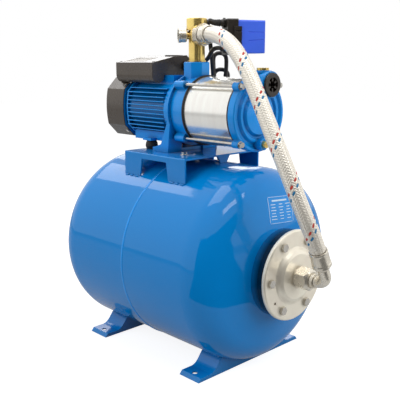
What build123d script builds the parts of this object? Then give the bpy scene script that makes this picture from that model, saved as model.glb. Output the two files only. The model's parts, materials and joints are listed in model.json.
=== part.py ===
from build123d import *
import math
import os

# Domestic water booster set: a horizontal multistage centrifugal pump bolted on a 50 litre
# pressure tank, with its brass five-way fitting, pressure switch, gauge and braided hose.
# Millimetres. +X runs along the tank towards its flange, +Z is up, and the origin is on the
# floor under the middle of the tank. The pump's shaft lies along X above the tank.

# ---- driving dimensions: tank --------------------------------------------------------------
tank_radius = 180.0
tank_wall = 2.0
tank_half_length = 158.0        # straight shell, from the weld seam to a dished end
dish_depth = 77.0
dish_knuckle = 58.0
floor_clearance = 11.0          # tank belly above the floor
seam_width = 5.0
seam_height = 1.0
neck_radius = 79.0
neck_bore = 52.0
neck_standoff = 16.0            # the welded neck's machined face beyond the dish
membrane_lip = 3.0
membrane_wall = 2.0
membrane_radius = 150.0
membrane_lip_width = 4.0
bolt_hole_depth = 16.0
flange_radius = 81.4
flange_plate = 6.0
flange_edge = 3.0
flange_dome_radius = 44.0
flange_dome_rise = 8.0
flange_sheet = 4.0              # metal left behind the dome
flange_bore = 9.0
spigot_collar = 16.5
spigot_thread = 13.6
spigot_collar_length = 4.0
spigot_length = 20.0            # the threaded end beyond the dome
flange_bolt_circle = 65.0
flange_bolt_count = 6
flange_bolt_thread = 4.0
flange_bolt_head = 6.5
flange_bolt_head_height = 5.5
pin_hole_radius = 2.5
pin_hole_turn = 217.0           # from +Y towards +Z
valve_hole = 6.0
valve_stem = 4.0
valve_boss = 15.0
valve_length = 26.0
valve_cap_radius = 13.0
valve_cap_length = 30.0

# ---- driving dimensions: feet and pump bracket ---------------------------------------------
foot_spacing = 276.0
foot_width = 50.0
foot_half_span = 140.0
foot_sheet = 2.5
foot_tab_height = 7.0
foot_hole_y = 125.0
foot_hole_radius = 5.0
foot_bend_y = 109.0
foot_lip = 6.0                  # slope of the tab's outer end
foot_touch_y = 82.0             # where the foot's top meets the tank
bracket_half_length = 86.0
bracket_half_width = 99.5
bracket_rise = 16.0             # top of the plate above the tank's crown
bracket_sheet = 3.0
window_top_half = 35.0
window_bottom_half = 42.0
window_drop = 11.0
tab_top_half = 17.0             # end tabs bent down onto the tank's crown
tab_bottom_half = 8.5

# ---- driving dimensions: pump --------------------------------------------------------------
shaft_height = 79.0             # shaft axis above the bracket plate
shaft_radius = 7.5
sleeve_radius = 63.5
sleeve_wall = 1.0
sleeve_length = 117.0
gasket_radius = 66.0
gasket_width = 3.5
lantern_face = 41.0             # x of the joint between lantern and sleeve
lantern_length = 57.0
drum_radius = 65.0
drum_wall = 6.5
web_height = 3.5                # web's rim above the drum
rod_stand_off = 5.0             # tie rods' axes above the drum
rod_radius = 3.0
rod_lug_radius = 7.0
rod_head_radius = 5.2
rod_head_height = 5.0
outlet_boss_flats = 48.0        # across the flats of the octagon
outlet_boss_top = 90.0          # above the shaft axis
outlet_bore = 15.15             # G1 thread, crest radius
boss_x = 13.0
leg_inner = 29.0
leg_outer = 64.0
motor_length = 115.0
motor_radius = 54.0
motor_wall = 5.0
fin_height = 6.0
fin_thickness = 2.0
fin_pitch = 8.0
fin_rows = 5                    # above and below the middle fin
motor_belly_drop = 62.0         # flat belly below the shaft axis
motor_belly_half_width = 40.0
motor_belly_height = 18.0
motor_ring = 4.0                # flange at the motor's rear end
motor_pad = 5.0
fin_corner_inset = 4.0
fan_cover_radius = 62.5         # to the middle of each bulging side
fan_cover_corner = 58.5         # where a side meets a corner's flat
fan_cover_corner_start = 36.0
fan_cover_edge = 3.0
fan_cover_length = 59.0
fan_cover_wall = 1.6
fan_cover_gap = 6.0
motor_foot_x = -73.0
motor_foot_y = 42.0             # either side of the middle
motor_foot_radius = 12.5
stator_length = 62.0
stator_bore = 28.5
rotor_gap = 0.5
bearing_radius = 17.5
bearing_width = 11.0
bearing_set = 8.0               # rear bearing's front face inside the barrel
stage_count = 4
impeller_radius = 45.0
casing_rim_radius = 66.5
casing_flange = 14.0
suction_bore = 15.15
suction_boss_radius = 23.0
suction_rise = 52.0
suction_face = 198.0

# ---- driving dimensions: fittings ----------------------------------------------------------
fitting_tube = 15.4
fitting_socket = 19.2
fitting_top = 80.0              # above the outlet boss
hose_turn = -20.0               # direction of each port, in degrees from +X
gauge_turn = -124.0
switch_turn = 56.0
port_height = 49.0              # port axis above the outlet boss
port_radius = 19.0
gauge_back = 19.7               # from the fitting's axis
gauge_radius = 13.0
gauge_depth = 15.5
switch_start = 54.0             # from the fitting's axis to the switch's base
switch_base_depth = 20.0
switch_cover_depth = 51.5
switch_half_width = 28.0
switch_base_top = 30.0          # above and below the port's axis
switch_base_bottom = -36.0
gland_radius = 8.0
gland_length = 10.0
gland_offset = -4.0
gland_spread = 23.0             # glands above and below the port

# ---- driving dimensions: screws and terminal box -------------------------------------------
screw_radius = 1.9              # M4 pan heads on the fan cover, terminal box and switch
screw_head_radius = 3.6
box_start = -160.0
box_end = -47.0
box_front = -60.0
box_back = 42.0
box_floor = 65.0                # heights above the shaft axis
box_trough = 15.0
box_gland_y = 24.0
box_gland_rise = 9.0            # gland above the lid's joint
box_split = 73.0
box_front_top = 89.0
box_ridge = 100.0
box_wall = 2.5
capacitor_radius = 12.0
capacitor_length = 88.0

# ---- driving dimensions: hose and leads ----------------------------------------------------
hose_radius = 14.0
cable_radius = 4.2
coil_radius = 50.0

# ---- fits ----------------------------------------------------------------------------------
fit = 0.05                      # radial clearance of a seated or running fit
gap = 0.3                       # clearance between curved faces of neighbours

# ---- derived places ------------------------------------------------------------------------
tank_z = floor_clearance + tank_radius
plate_z = tank_z + tank_radius + bracket_rise
pump_z = plate_z + shaft_height
lantern_rear = lantern_face - lantern_length
motor_rear = lantern_rear - motor_length
sleeve_end = lantern_face + sleeve_length
web_radius = drum_radius + web_height
rod_circle = drum_radius + rod_stand_off
boss_top_z = pump_z + outlet_boss_top
port_z = boss_top_z + port_height
neck_end = tank_half_length + dish_depth + neck_standoff
box_gland_z = pump_z + box_split + box_gland_rise

nodes = {}
box_screws = []


# ---- shape helpers -------------------------------------------------------------------------
def rod_x(radius, x0, x1, y=0.0, z=0.0):
    """Cylinder along X from x0 to x1."""
    return Pos(x0, y, z) * Rot(0, 90, 0) * Cylinder(radius, x1 - x0,
                                                    align=(Align.CENTER, Align.CENTER, Align.MIN))


def ring_x(outer, inner, x0, x1, y=0.0, z=0.0):
    return rod_x(outer, x0, x1, y, z) - rod_x(inner, x0 - 1, x1 + 1, y, z)


def rod_z(radius, z0, z1, x=0.0, y=0.0):
    return Pos(x, y, z0) * Cylinder(radius, z1 - z0, align=(Align.CENTER, Align.CENTER, Align.MIN))


def block(x0, x1, y0, y1, z0, z1):
    return Pos(x0, y0, z0) * Box(x1 - x0, y1 - y0, z1 - z0, align=(Align.MIN, Align.MIN, Align.MIN))


def turned_x(points, z=0.0, y=0.0):
    """Solid of revolution about a line parallel to X, from (x, radius) points."""
    face = make_face(Polyline(*points, close=True).edges())
    return Pos(0, y, z) * revolve(face, Axis.X)


def slab_xz(points, y0, y1):
    """Outline of (x, z) points, drawn out along Y from y0 to y1."""
    face = make_face(Polyline(*[(x, y0, z) for x, z in points], close=True).edges())
    return extrude(face, amount=y1 - y0, dir=(0, 1, 0))


def hex_rod(flats, length):
    """Hexagonal bar along +Z from the origin."""
    return extrude(RegularPolygon(flats / 2, 6, major_radius=False), amount=length)


def around_x(shape, count, y=0.0, z=0.0, start=0.0):
    """Copies of a shape turned about a line parallel to X."""
    turned = []
    for index in range(count):
        turn = Pos(0, y, z) * Rot(start + index * 360 / count, 0, 0) * Pos(0, -y, -z)
        turned.append(turn * shape)
    return turned


def group(shapes):
    return Compound(children=list(shapes))


# ---- tank ----------------------------------------------------------------------------------
knuckle_y = tank_radius - dish_knuckle
# crown radius for which knuckle and crown meet at a tangent with the stated depth
crown = (dish_depth ** 2 + knuckle_y ** 2 - dish_knuckle ** 2) / (2 * (dish_depth - dish_knuckle))
crown_x = tank_half_length + dish_depth - crown


def dish_x(radius):
    """How far out the dished end's crown reaches at a radius from the tank's axis."""
    return crown_x + math.sqrt(crown ** 2 - radius ** 2)


def dish_profile(offset):
    """Edges of a dished end's meridian, inset by offset, from the shell to the axis."""
    radius = tank_radius - offset
    knuckle = dish_knuckle - offset
    lean = math.degrees(math.atan2(knuckle_y, tank_half_length - crown_x))
    corner = CenterArc((tank_half_length, knuckle_y), knuckle, 90, lean - 90)
    cap = CenterArc((crown_x, 0), crown - offset, lean, -lean)
    return [Line((0, radius), (tank_half_length, radius)), corner, cap]


def half_tank():
    outer = dish_profile(0)
    inner = dish_profile(tank_wall)
    outer_tip = outer[-1] @ 1
    inner_tip = inner[-1] @ 1
    tip = Line(outer_tip, inner_tip)
    mouth = Line(inner[0] @ 0, outer[0] @ 0)
    edges = [part.edge() for part in outer + inner] + [tip.edge(), mouth.edge()]
    return revolve(make_face(edges), Axis.X)


def build_tank():
    half = Pos(0, 0, tank_z) * half_tank()
    flange_half = half - rod_x(neck_bore, tank_half_length, neck_end, 0, tank_z)
    motor_half = mirror(half, Plane.YZ) - rod_x(valve_hole, -300, -tank_half_length, 0, tank_z)
    nodes["tank_shell_flange_end"] = flange_half
    nodes["tank_shell_motor_end"] = motor_half
    bead = turned_x([(-seam_width / 2, tank_radius + fit), (-seam_width / 4, tank_radius + seam_height),
                     (seam_width / 4, tank_radius + seam_height), (seam_width / 2, tank_radius + fit)],
                     tank_z)
    nodes["tank_weld_seam"] = bead
    steps = [neck_bore + (neck_radius - neck_bore) * step / 6 for step in range(7)]
    seat = [(dish_x(radius) + fit, radius) for radius in steps]
    neck = turned_x([(neck_end, neck_bore)] + seat + [(neck_end, neck_radius)], tank_z)
    for hole in around_x(rod_x(flange_bolt_thread + fit, neck_end - bolt_hole_depth, neck_end + 1, 0,
                               tank_z + flange_bolt_circle), flange_bolt_count, 0, tank_z, 30):
        neck -= hole
    nodes["tank_neck_ring"] = neck
    # the membrane hangs from its lip between neck and flange
    waist = neck_bore - gap - membrane_wall
    lip = neck_bore + membrane_lip_width
    half = tank_half_length
    bag = membrane_radius
    outside = [(neck_end + membrane_lip, lip), (neck_end, lip), (neck_end, waist), (1.27 * half, waist),
               (1.08 * half, 0.6 * bag), (0.76 * half, 0.95 * bag), (0.25 * half, bag),
               (-0.38 * half, 0.97 * bag),
               (-0.89 * half, 0.79 * bag), (-1.18 * half, 0.4 * bag), (-1.24 * half, 0)]
    shrink = 1 - membrane_wall / half
    inside = [(x * shrink, max(radius - membrane_wall, 0)) for x, radius in reversed(outside[3:])]
    inside.append((neck_end + membrane_lip, waist - membrane_wall))
    nodes["tank_membrane"] = turned_x(outside + inside, tank_z)


def build_tank_flange():
    back = neck_end + membrane_lip
    front = back + flange_plate
    rise = flange_dome_rise
    dome = flange_dome_radius
    spigot_end = front + rise + spigot_length
    crest = front + rise
    pin_turn = math.radians(pin_hole_turn)
    pin_hole = (flange_bolt_circle * math.cos(pin_turn), tank_z + flange_bolt_circle * math.sin(pin_turn))
    collar = crest + spigot_collar_length
    plate = turned_x([(back, neck_bore + membrane_lip_width), (back, flange_radius),
                      (front - flange_edge, flange_radius),
                      (front - flange_edge * 0.3, flange_radius - flange_edge * 0.3),
                      (front, flange_radius - flange_edge), (front, dome + rise),
                      (front + rise * 0.2, dome + rise * 0.6),
                      (front + rise * 0.7, dome + rise * 0.1), (crest, dome - rise * 0.5),
                      (crest, spigot_collar),
                      (collar, spigot_collar), (collar, spigot_thread), (spigot_end, spigot_thread),
                      (spigot_end, flange_bore), (crest - flange_sheet, flange_bore),
                      (crest - flange_sheet, dome - 6),
                      (back, dome)], tank_z)
    for hole in around_x(rod_x(flange_bolt_thread + fit, back - 1, front + 1, 0, tank_z + flange_bolt_circle),
                         flange_bolt_count, 0, tank_z, 30):
        plate -= hole
    plate -= rod_x(pin_hole_radius, back - 1, front + 1, *pin_hole)
    nodes["tank_flange"] = plate
    bolt = rod_x(flange_bolt_thread, neck_end - bolt_hole_depth + 2, front, 0, tank_z + flange_bolt_circle)
    head = Pos(front, 0, tank_z + flange_bolt_circle) * Rot(0, 90, 0) * hex_rod(2 * flange_bolt_head,
                                                                                flange_bolt_head_height)
    nodes["flange_bolts"] = group(around_x(bolt + head, flange_bolt_count, 0, tank_z, 30))
    # air valve at the motor end, with its screw cap
    tip = -dish_x(0)
    shank = valve_hole - fit
    nodes["air_valve"] = turned_x([(tip + 12, 0), (tip + 12, shank), (-dish_x(shank) - fit, shank),
                                   (-dish_x(valve_boss) - fit, valve_boss), (tip - 6, valve_boss - 3),
                                   (tip - 6, valve_stem), (tip - valve_length, valve_stem),
                                   (tip - valve_length, 0)], tank_z)
    cap_base = tip - 6
    cap = turned_x([(cap_base, valve_stem + gap), (cap_base, valve_cap_radius),
                    (cap_base - valve_cap_length + 4,
                    valve_cap_radius - 1), (cap_base - valve_cap_length, valve_cap_radius - 5),
                    (cap_base - valve_cap_length, 0), (cap_base - valve_cap_length + 3, 0),
                    (cap_base - valve_cap_length + 3, valve_stem + gap)], tank_z)
    nodes["air_valve_cap"] = cap


def foot_outline(drop):
    """Foot section in (y, z): flat tabs, S-curves and the saddle under the tank."""
    half = foot_half_span - drop
    tab = foot_tab_height - drop
    saddle = tank_radius + gap + drop
    touch_z = tank_z - math.sqrt(saddle ** 2 - foot_touch_y ** 2)
    rise = touch_z - tab
    start = Vector(0, -foot_touch_y, touch_z)
    low = Vector(0, 0, tank_z - saddle)
    end = Vector(0, foot_touch_y, touch_z)
    arc = ThreePointArc(start, low, end)
    bend = foot_bend_y
    s_curve_near = Spline(Vector(0, -bend, tab), start, tangents=[Vector(0, 1, 0.15), Vector(0, 1, 0.9)])
    s_curve_far = Spline(end, Vector(0, bend, tab), tangents=[Vector(0, 1, -0.9), Vector(0, 1, -0.15)])
    near = Polyline((0, 0, -drop), (0, -half, -drop), (0, -half + foot_lip, tab), (0, -bend, tab))
    far = Polyline((0, bend, tab), (0, half - foot_lip, tab), (0, half, -drop), (0, 0, -drop))
    edges = list(near.edges()) + [s_curve_near.edge(), arc.edge(), s_curve_far.edge()] + list(far.edges())
    return make_face(edges)


def build_foot(centre_x):
    outer = extrude(foot_outline(0), amount=foot_width / 2, dir=(1, 0, 0), both=True)
    inner = extrude(foot_outline(foot_sheet), amount=foot_width / 2 - foot_sheet, dir=(1, 0, 0), both=True)
    foot = outer - inner
    for side in (-1, 1):
        foot -= rod_z(foot_hole_radius, -1, foot_tab_height + 5, 0, side * foot_hole_y)
    return Pos(centre_x, 0, 0) * foot


def build_bracket():
    """Folded channel that carries the pump, its two walls cut to the tank's curve."""
    wall_y = bracket_half_width
    top = plate_z
    low = tank_z + math.sqrt(tank_radius ** 2 - wall_y ** 2)
    outer = block(-bracket_half_length, bracket_half_length, -wall_y, wall_y, low - 6, top)
    inner = block(-bracket_half_length - 1, bracket_half_length + 1, -wall_y + bracket_sheet,
                  wall_y - bracket_sheet, low - 10, top - bracket_sheet)
    bracket = outer - inner
    window = slab_xz([(-window_top_half, top - window_drop), (window_top_half, top - window_drop),
                      (window_bottom_half, low - 10), (-window_bottom_half, low - 10)],
                     -wall_y - 5, wall_y + 5)
    bracket -= window
    bracket = fillet(bracket.edges().filter_by(Axis.X).group_by(Axis.Z)[-1], 2.0)
    bracket -= rod_x(tank_radius + gap, -bracket_half_length - 5, bracket_half_length + 5, 0, tank_z)
    for side in (-1, 1):
        bracket -= rod_z(4.3, top - 10, top + 5, -20, side * 17)
        face = make_face(Polyline((0, -tab_top_half, top - bracket_sheet / 2),
                                  (0, tab_top_half, top - bracket_sheet / 2),
                                  (0, tab_bottom_half, top - bracket_rise + gap),
                                  (0, -tab_bottom_half, top - bracket_rise + gap), close=True).edges())
        tab = extrude(face, amount=bracket_sheet, dir=(-side, 0, 0))
        bracket += Pos(side * bracket_half_length, 0, 0) * tab
    bracket -= rod_z(3.0, top - 10, top + 5, 42, -60)
    return bracket


# ---- motor -----------------------------------------------------------------------------------
def cover_section(inset):
    """Fan cover's section in (y, z): bulging sides with flat corners, inset all round."""
    middle = fan_cover_radius - inset
    far = fan_cover_corner - inset
    near = fan_cover_corner_start - inset * math.tan(math.radians(22.5))
    side = ThreePointArc((0, far, -near), (0, middle, 0), (0, far, near))
    corner = Line((0, far, near), (0, near, far))
    edges = []
    for quarter in range(4):
        turn = Rot(90 * quarter, 0, 0)
        edges += [(turn * side).edge(), (turn * corner).edge()]
    return make_face(edges)


def cover_block(inset, x0, x1):
    return Pos(x0, 0, pump_z) * extrude(cover_section(inset), amount=x1 - x0, dir=(1, 0, 0))


def trough_room(room):
    """Space kept clear around the terminal box's capacitor trough."""
    y = box_front + box_trough
    return rod_x(box_trough + room, box_start - room, lantern_rear, y, pump_z + box_floor)


def build_motor():
    """Finned aluminium barrel with its stator, end shield, fan cover and rubber feet."""
    barrel = rod_x(motor_radius, motor_rear, lantern_rear, 0, pump_z)
    side = motor_radius + fin_height
    ring_end = motor_rear + motor_ring
    fins = []
    for row in range(-fin_rows, fin_rows + 1):
        height = row * fin_pitch
        reach = min(side, fan_cover_corner + fan_cover_corner_start - fin_corner_inset - abs(height))
        fins.append(block(ring_end, lantern_rear, -reach, reach, pump_z + height - fin_thickness / 2,
                          pump_z + height + fin_thickness / 2))
    belly_z = pump_z - motor_belly_drop
    belly = block(ring_end, lantern_rear - 5, -motor_belly_half_width, motor_belly_half_width,
                  belly_z, belly_z + motor_belly_height)
    saddle = block(ring_end, lantern_rear - 8, -26, 30, pump_z + motor_radius - 16, pump_z + box_floor)
    pads = []
    for way in (-1, 1):
        mid_y = way * motor_foot_y
        pads.append(block(motor_foot_x - motor_foot_radius, motor_foot_x + motor_foot_radius,
                          mid_y - motor_foot_radius,
                          mid_y + motor_foot_radius, belly_z, belly_z + motor_pad))
    end_ring = cover_block(fan_cover_radius - side + 2, motor_rear, ring_end)
    barrel = barrel + fins + [belly, saddle, end_ring] + pads
    barrel -= rod_x(motor_radius - motor_wall, motor_rear - 1, lantern_rear + 1, 0, pump_z)
    nodes["motor_housing"] = barrel

    stator_mid = motor_rear + 52
    half = stator_length / 2
    bore = stator_bore
    core_radius = motor_radius - motor_wall - fit
    nodes["stator_core"] = ring_x(core_radius, bore, stator_mid - half, stator_mid + half, 0, pump_z)
    windings = []
    for way in (-1, 1):
        inner_x = stator_mid + way * half
        outer_x = stator_mid + way * (half + 14)
        windings.append(turned_x([(inner_x, bore + 3), (inner_x, core_radius - 3), (outer_x, core_radius - 6),
                                  (outer_x, bore + 6)], pump_z))
    nodes["stator_windings"] = group(windings)

    shield_rear = motor_rear - fan_cover_gap
    lip_inset = fan_cover_wall + fit
    bearing_start = motor_rear + bearing_set - bearing_width
    hub = turned_x([(shield_rear - 3, shaft_radius + 2), (shield_rear - 3, 50), (motor_rear, 52),
                    (motor_rear, 30),
                    (motor_rear + bearing_set, 26), (motor_rear + bearing_set, bearing_radius + fit),
                    (bearing_start, bearing_radius + fit), (bearing_start, shaft_radius + 2)], pump_z)
    shield = cover_block(lip_inset, shield_rear - 9, shield_rear)
    shield -= trough_room(2 + lip_inset)
    shield -= cover_block(lip_inset + 5, shield_rear - 10, shield_rear - 3) - trough_room(7 + lip_inset)
    shield -= rod_x(40, shield_rear - 10, shield_rear + 1, 0, pump_z)
    shield += hub
    nodes["motor_end_shield"] = shield
    rear_bearing = ring_x(bearing_radius, shaft_radius + fit, bearing_start, motor_rear + bearing_set, 0,
                          pump_z)
    front_bearing_x = lantern_rear - 4
    front_bearing = ring_x(bearing_radius, shaft_radius + fit, front_bearing_x - bearing_width,
                           front_bearing_x,
                           0, pump_z)
    nodes["motor_bearings"] = group([rear_bearing, front_bearing])


def build_fan_cover():
    """Moulded cap over the fan, dented for the trough above it, with a grille of curved slots."""
    front = motor_rear - fan_cover_gap
    rear = front - fan_cover_length
    wall = fan_cover_wall
    tread = front - 4.5
    outer = cover_block(0, rear, front)
    outer = chamfer(outer.edges().group_by(Axis.X)[0], fan_cover_edge) - trough_room(2)
    inner = cover_block(wall, rear + wall, front + 1)
    inner = chamfer(inner.edges().group_by(Axis.X)[0], fan_cover_edge) - trough_room(2 + wall)
    cover = outer - inner
    for ring_start in (14, 24, 34, 44):
        ring = ring_x(ring_start + 5, ring_start, rear - 1, rear + wall + 1, 0, pump_z)
        for spoke in around_x(block(rear - 2, rear + wall + 2, -3, 3, pump_z, pump_z + 60), 6, 0, pump_z, 30):
            ring -= spoke
        cover -= ring
    reach = (fan_cover_corner + fan_cover_corner_start) / math.sqrt(2)
    lip = reach - wall - fit
    screw = rod_z(screw_radius, lip - 5, reach + 1, tread) + rod_z(screw_head_radius, reach + 0.2,
                                                                   reach + 2.2, tread)
    screw -= block(tread - 4, tread + 4, -0.5, 0.5, reach + 1.2, reach + 3)
    hole = rod_z(screw_radius + fit, lip - 6, reach + 2, tread)
    screws = []
    for turn, slide in ((45, -5), (-45, 5), (135, 0), (-135, 0)):
        place = Pos(0, 0, pump_z) * Rot(turn, 0, 0) * Pos(0, slide, 0)
        screws.append(place * screw)
        cover -= place * hole
        nodes["motor_end_shield"] -= place * hole
    nodes["fan_cover_screws"] = group(screws)
    nodes["fan_cover"] = cover


def build_motor_foot():
    """Two rubber buffers that prop the motor's belly on the bracket."""
    top = pump_z - motor_belly_drop
    radius = motor_foot_radius
    height = top - plate_z
    profile = [(plate_z, 0), (plate_z, radius - 2), (plate_z + 0.35 * height, radius),
               (plate_z + 0.7 * height, radius - 1),
               (top, radius - 3.5), (top, 0)]
    face = make_face(Polyline(*[(out, 0, z) for z, out in profile], close=True).edges())
    buffer = revolve(face, Axis.Z)
    nodes["motor_foot"] = group([Pos(motor_foot_x, way * motor_foot_y, 0) * buffer for way in (-1, 1)])


# ---- terminal box ----------------------------------------------------------------------------
def box_section(inset):
    """Terminal box in (y, z) about the shaft axis: a flat box with a round capacitor trough."""
    trough = box_trough
    centre_y = box_front + trough
    centre_z = box_floor
    front = box_front + inset
    back = box_back - inset
    floor = box_floor + inset
    arc = ThreePointArc((0, front, centre_z), (0, centre_y, centre_z - trough + inset),
                        (0, centre_y + trough - inset, centre_z))
    start = Line((0, centre_y + trough - inset, centre_z), (0, centre_y + trough - inset, floor + 0.01))
    outline = Polyline((0, centre_y + trough - inset, floor + 0.01), (0, back, floor),
                       (0, back, box_ridge - 8 - inset),
                       (0, back - 12, box_ridge + 3 - inset), (0, box_front + 55, box_ridge - inset),
                       (0, front, box_front_top - inset), (0, front, centre_z))
    return make_face([arc.edge(), start.edge()] + list(outline.edges()))


def build_terminal_box():
    outer = extrude(box_section(0), amount=box_end - box_start, dir=(1, 0, 0))
    outer = Pos(box_start, 0, pump_z) * outer
    inner = extrude(box_section(box_wall), amount=box_end - box_start - 2 * box_wall, dir=(1, 0, 0))
    inner = Pos(box_start + box_wall, 0, pump_z) * inner
    shell = outer - inner
    split = pump_z + box_split
    below = block(-400, 200, -200, 200, 0, split)
    base = shell & below
    lid = shell - below
    lid -= rod_x(cable_radius + fit, box_end - 10, box_end + 5, box_gland_y, box_gland_z)
    lean = math.degrees(math.atan2(box_ridge - box_front_top, 55))
    panel = Pos(box_start + 46, box_front + 27, pump_z + (box_ridge + box_front_top) / 2) * Rot(lean, 0, 0)
    lid -= panel * Box(64, 38, 1.2)
    for index in range(5):
        rib_x = box_end - 8 - index * 6
        lid += block(rib_x - 1.2, rib_x + 1.2, 2, 26, pump_z + box_ridge - 1, pump_z + box_ridge + 3.2)
    screws = []
    for x in (box_start + 6.5, box_end - 6.5):
        for y in (box_front + 8.5, box_back - 7.5):
            lid += rod_z(5.2, split, pump_z + box_front_top - 1, x, y)
            lid -= rod_z(screw_head_radius + gap, split + 6, split + 40, x, y)
            lid -= rod_z(screw_radius + fit, split - 1, split + 7, x, y)
            base += rod_z(5.2, pump_z + box_floor + 1, split, x, y)
            base -= rod_z(screw_radius + fit, split - 6, split + 1, x, y)
            screw = rod_z(screw_radius, split - 6, split + 6, x, y) + rod_z(screw_head_radius, split + 6,
                                                                            split + 8.5, x, y)
            screws.append(screw - block(x - 4, x + 4, y - 0.5, y + 0.5, split + 7.4, split + 9))
    box_screws.extend(screws)
    nodes["terminal_box_base"] = base
    nodes["terminal_box_lid"] = lid
    trough_y = box_front + box_trough
    start = box_start + 12
    nodes["capacitor"] = rod_x(capacitor_radius, start, start + capacitor_length, trough_y,
                               pump_z + box_floor)


def cable_gland(length, radius):
    """Gland along +X from the origin: a hexagon, then a rounded dome, bored for the cable."""
    body = Rot(0, 90, 0) * hex_rod(2 * radius, length * 0.45)
    body += turned_x([(length * 0.45, 0), (length * 0.45, radius - 1), (length * 0.8, radius - 1.5),
                      (length, radius - 3),
                      (length, 0)])
    return body - rod_x(cable_radius + fit, -1, length + 1)


# ---- lantern ---------------------------------------------------------------------------------
def build_lantern():
    """Cast body between motor and sleeve: bearing hub, wet chamber, outlet boss, legs and lugs."""
    rear = lantern_rear
    pocket = bearing_radius + fit
    hub_end = rear - 4
    cavity = drum_radius - drum_wall
    casting = turned_x([(hub_end - bearing_width - 2, pocket), (hub_end - bearing_width - 2, pocket + 6),
                        (rear, pocket + 6),
                        (rear, 60), (rear + 8, 60.5), (2, 61), (2, web_radius), (6, web_radius),
                        (6, drum_radius - 2.5),
                        (lantern_face - 3, drum_radius), (lantern_face, drum_radius), (lantern_face, cavity),
                        (0, cavity), (0, 16), (-8, 16), (-8, 9), (hub_end, 9), (hub_end, pocket)], pump_z)
    boss = Pos(boss_x, 0, pump_z + 48) * extrude(
        RegularPolygon(outlet_boss_flats / 2, 8, major_radius=False, rotation=22.5),
        amount=outlet_boss_top - 48)
    boss = chamfer(boss.edges().group_by(Axis.Z)[-1], 1.5)
    lug_z = pump_z + rod_circle
    lug = rod_x(rod_lug_radius, 10, lantern_face - 6, 0, lug_z)
    lug += block(10, lantern_face - 6, -rod_lug_radius, rod_lug_radius, pump_z + drum_radius - 3, lug_z)
    lugs = around_x(lug, 4, 0, pump_z, 45)
    leg_outline = [(-44, 0), (0, 0), (8, 68), (3, 68), (-14, 28), (-20, 15), (-36, 9), (-44, 8)]
    outline = [(x, plate_z + z) for x, z in leg_outline]
    legs = [slab_xz(outline, leg_inner, leg_outer), slab_xz(outline, -leg_outer, -leg_inner)]
    base_web = block(-36, -4, -leg_inner, leg_inner, plate_z, plate_z + 6)
    casting = casting + [boss] + lugs + legs + [base_web]
    casting -= rod_x(cavity, 0, lantern_face + 1, 0, pump_z)
    casting -= rod_z(outlet_bore, pump_z + 30, boss_top_z + 1, boss_x, 0)
    for hole in around_x(rod_x(rod_radius + fit, 20, lantern_face + 1, 0, lug_z), 4, 0, pump_z, 45):
        casting -= hole
    for side in (-1, 1):
        casting -= rod_z(4.3, plate_z - 1, plate_z + 10, -20, side * 17)
    nodes["lantern_casting"] = casting


def build_pump_bolts():
    bolts = []
    for side in (-1, 1):
        under = plate_z - bracket_sheet
        bolt = rod_z(4.0, under - 9, plate_z + 6, -20, side * 17)
        bolt += Pos(-20, side * 17, plate_z + 6) * hex_rod(13, 5.5)
        bolts.append(bolt)
        nut = Pos(-20, side * 17, under - 6.5) * hex_rod(13, 6.5) - rod_z(4.0 + fit, under - 10, under + 1,
                                                                          -20, side * 17)
        bolts.append(nut)
    nodes["pump_hold_down_bolts"] = group(bolts)
    screw = rod_z(2.9, plate_z - 8, plate_z, 42, -60) + rod_z(7.5, plate_z, plate_z + 1.5, 42, -60)
    screw += Pos(42, -60, plate_z + 1.5) * hex_rod(9, 4.0)
    nodes["earth_screw"] = screw


# ---- sleeve, stages and suction casing -------------------------------------------------------
spigot = 8.0
stage_pitch = (sleeve_length - spigot) / stage_count
cup_radius = sleeve_radius - sleeve_wall - gap


def build_sleeve():
    start = lantern_face + gasket_width
    end = sleeve_end - gasket_width
    inner = sleeve_radius - sleeve_wall
    nodes["stainless_sleeve"] = ring_x(sleeve_radius, inner, start, end, 0, pump_z)
    gaskets = [ring_x(gasket_radius, inner, lantern_face, start, 0, pump_z),
               ring_x(gasket_radius, inner, end, sleeve_end, 0, pump_z)]
    nodes["sleeve_gaskets"] = group(gaskets)
    bolts = []
    rim = sleeve_end + casing_flange
    rod = rod_x(rod_radius, 24, rim, 0, pump_z + rod_circle)
    washer = rod_x(rod_head_radius + 1, rim, rim + 1.4, 0, pump_z + rod_circle)
    head = Pos(rim + 1.4, 0, pump_z + rod_circle) * Rot(0, 90, 0) * hex_rod(2 * rod_head_radius - 1.5,
                                                                            rod_head_height)
    for bolt in around_x(rod + washer + head, 4, 0, pump_z, 45):
        bolts.append(bolt)
    nodes["tie_bolts"] = group(bolts)


def curved_vane(inner, outer, sweep, thickness, height):
    """A blade in the XY plane that sweeps back as it goes out, drawn up along Z."""
    turn = math.radians(sweep)
    middle = (inner + outer) / 2
    bend = turn * 0.35
    path = ThreePointArc((inner, 0), (middle * math.cos(bend), middle * math.sin(bend)),
                         (outer * math.cos(turn), outer * math.sin(turn)))
    return extrude(make_face(offset(path, thickness / 2).edges()), amount=height)


def impeller(x):
    """Closed impeller whose eye faces +X: two shrouds with swept vanes between them."""
    hub = 12.0
    eye = 18.4
    radius = impeller_radius
    bore = shaft_radius + fit
    back = turned_x([(0, bore), (0, radius), (2, radius), (2, hub), (13, hub - 2), (13, bore)])
    front = turned_x([(9, eye - 2), (9, radius), (11, radius), (11, eye), (15.5, eye), (15.5, eye - 2)])
    blades = [Rot(0, 90, 0) * Rot(0, 0, k * 60) * Pos(0, 0, 1.5) * curved_vane(hub + 2, radius - 0.5, 55,
                                                                               2.0, 8.0)
              for k in range(6)]
    return Pos(x, 0, pump_z) * (back + blades + front)


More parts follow.
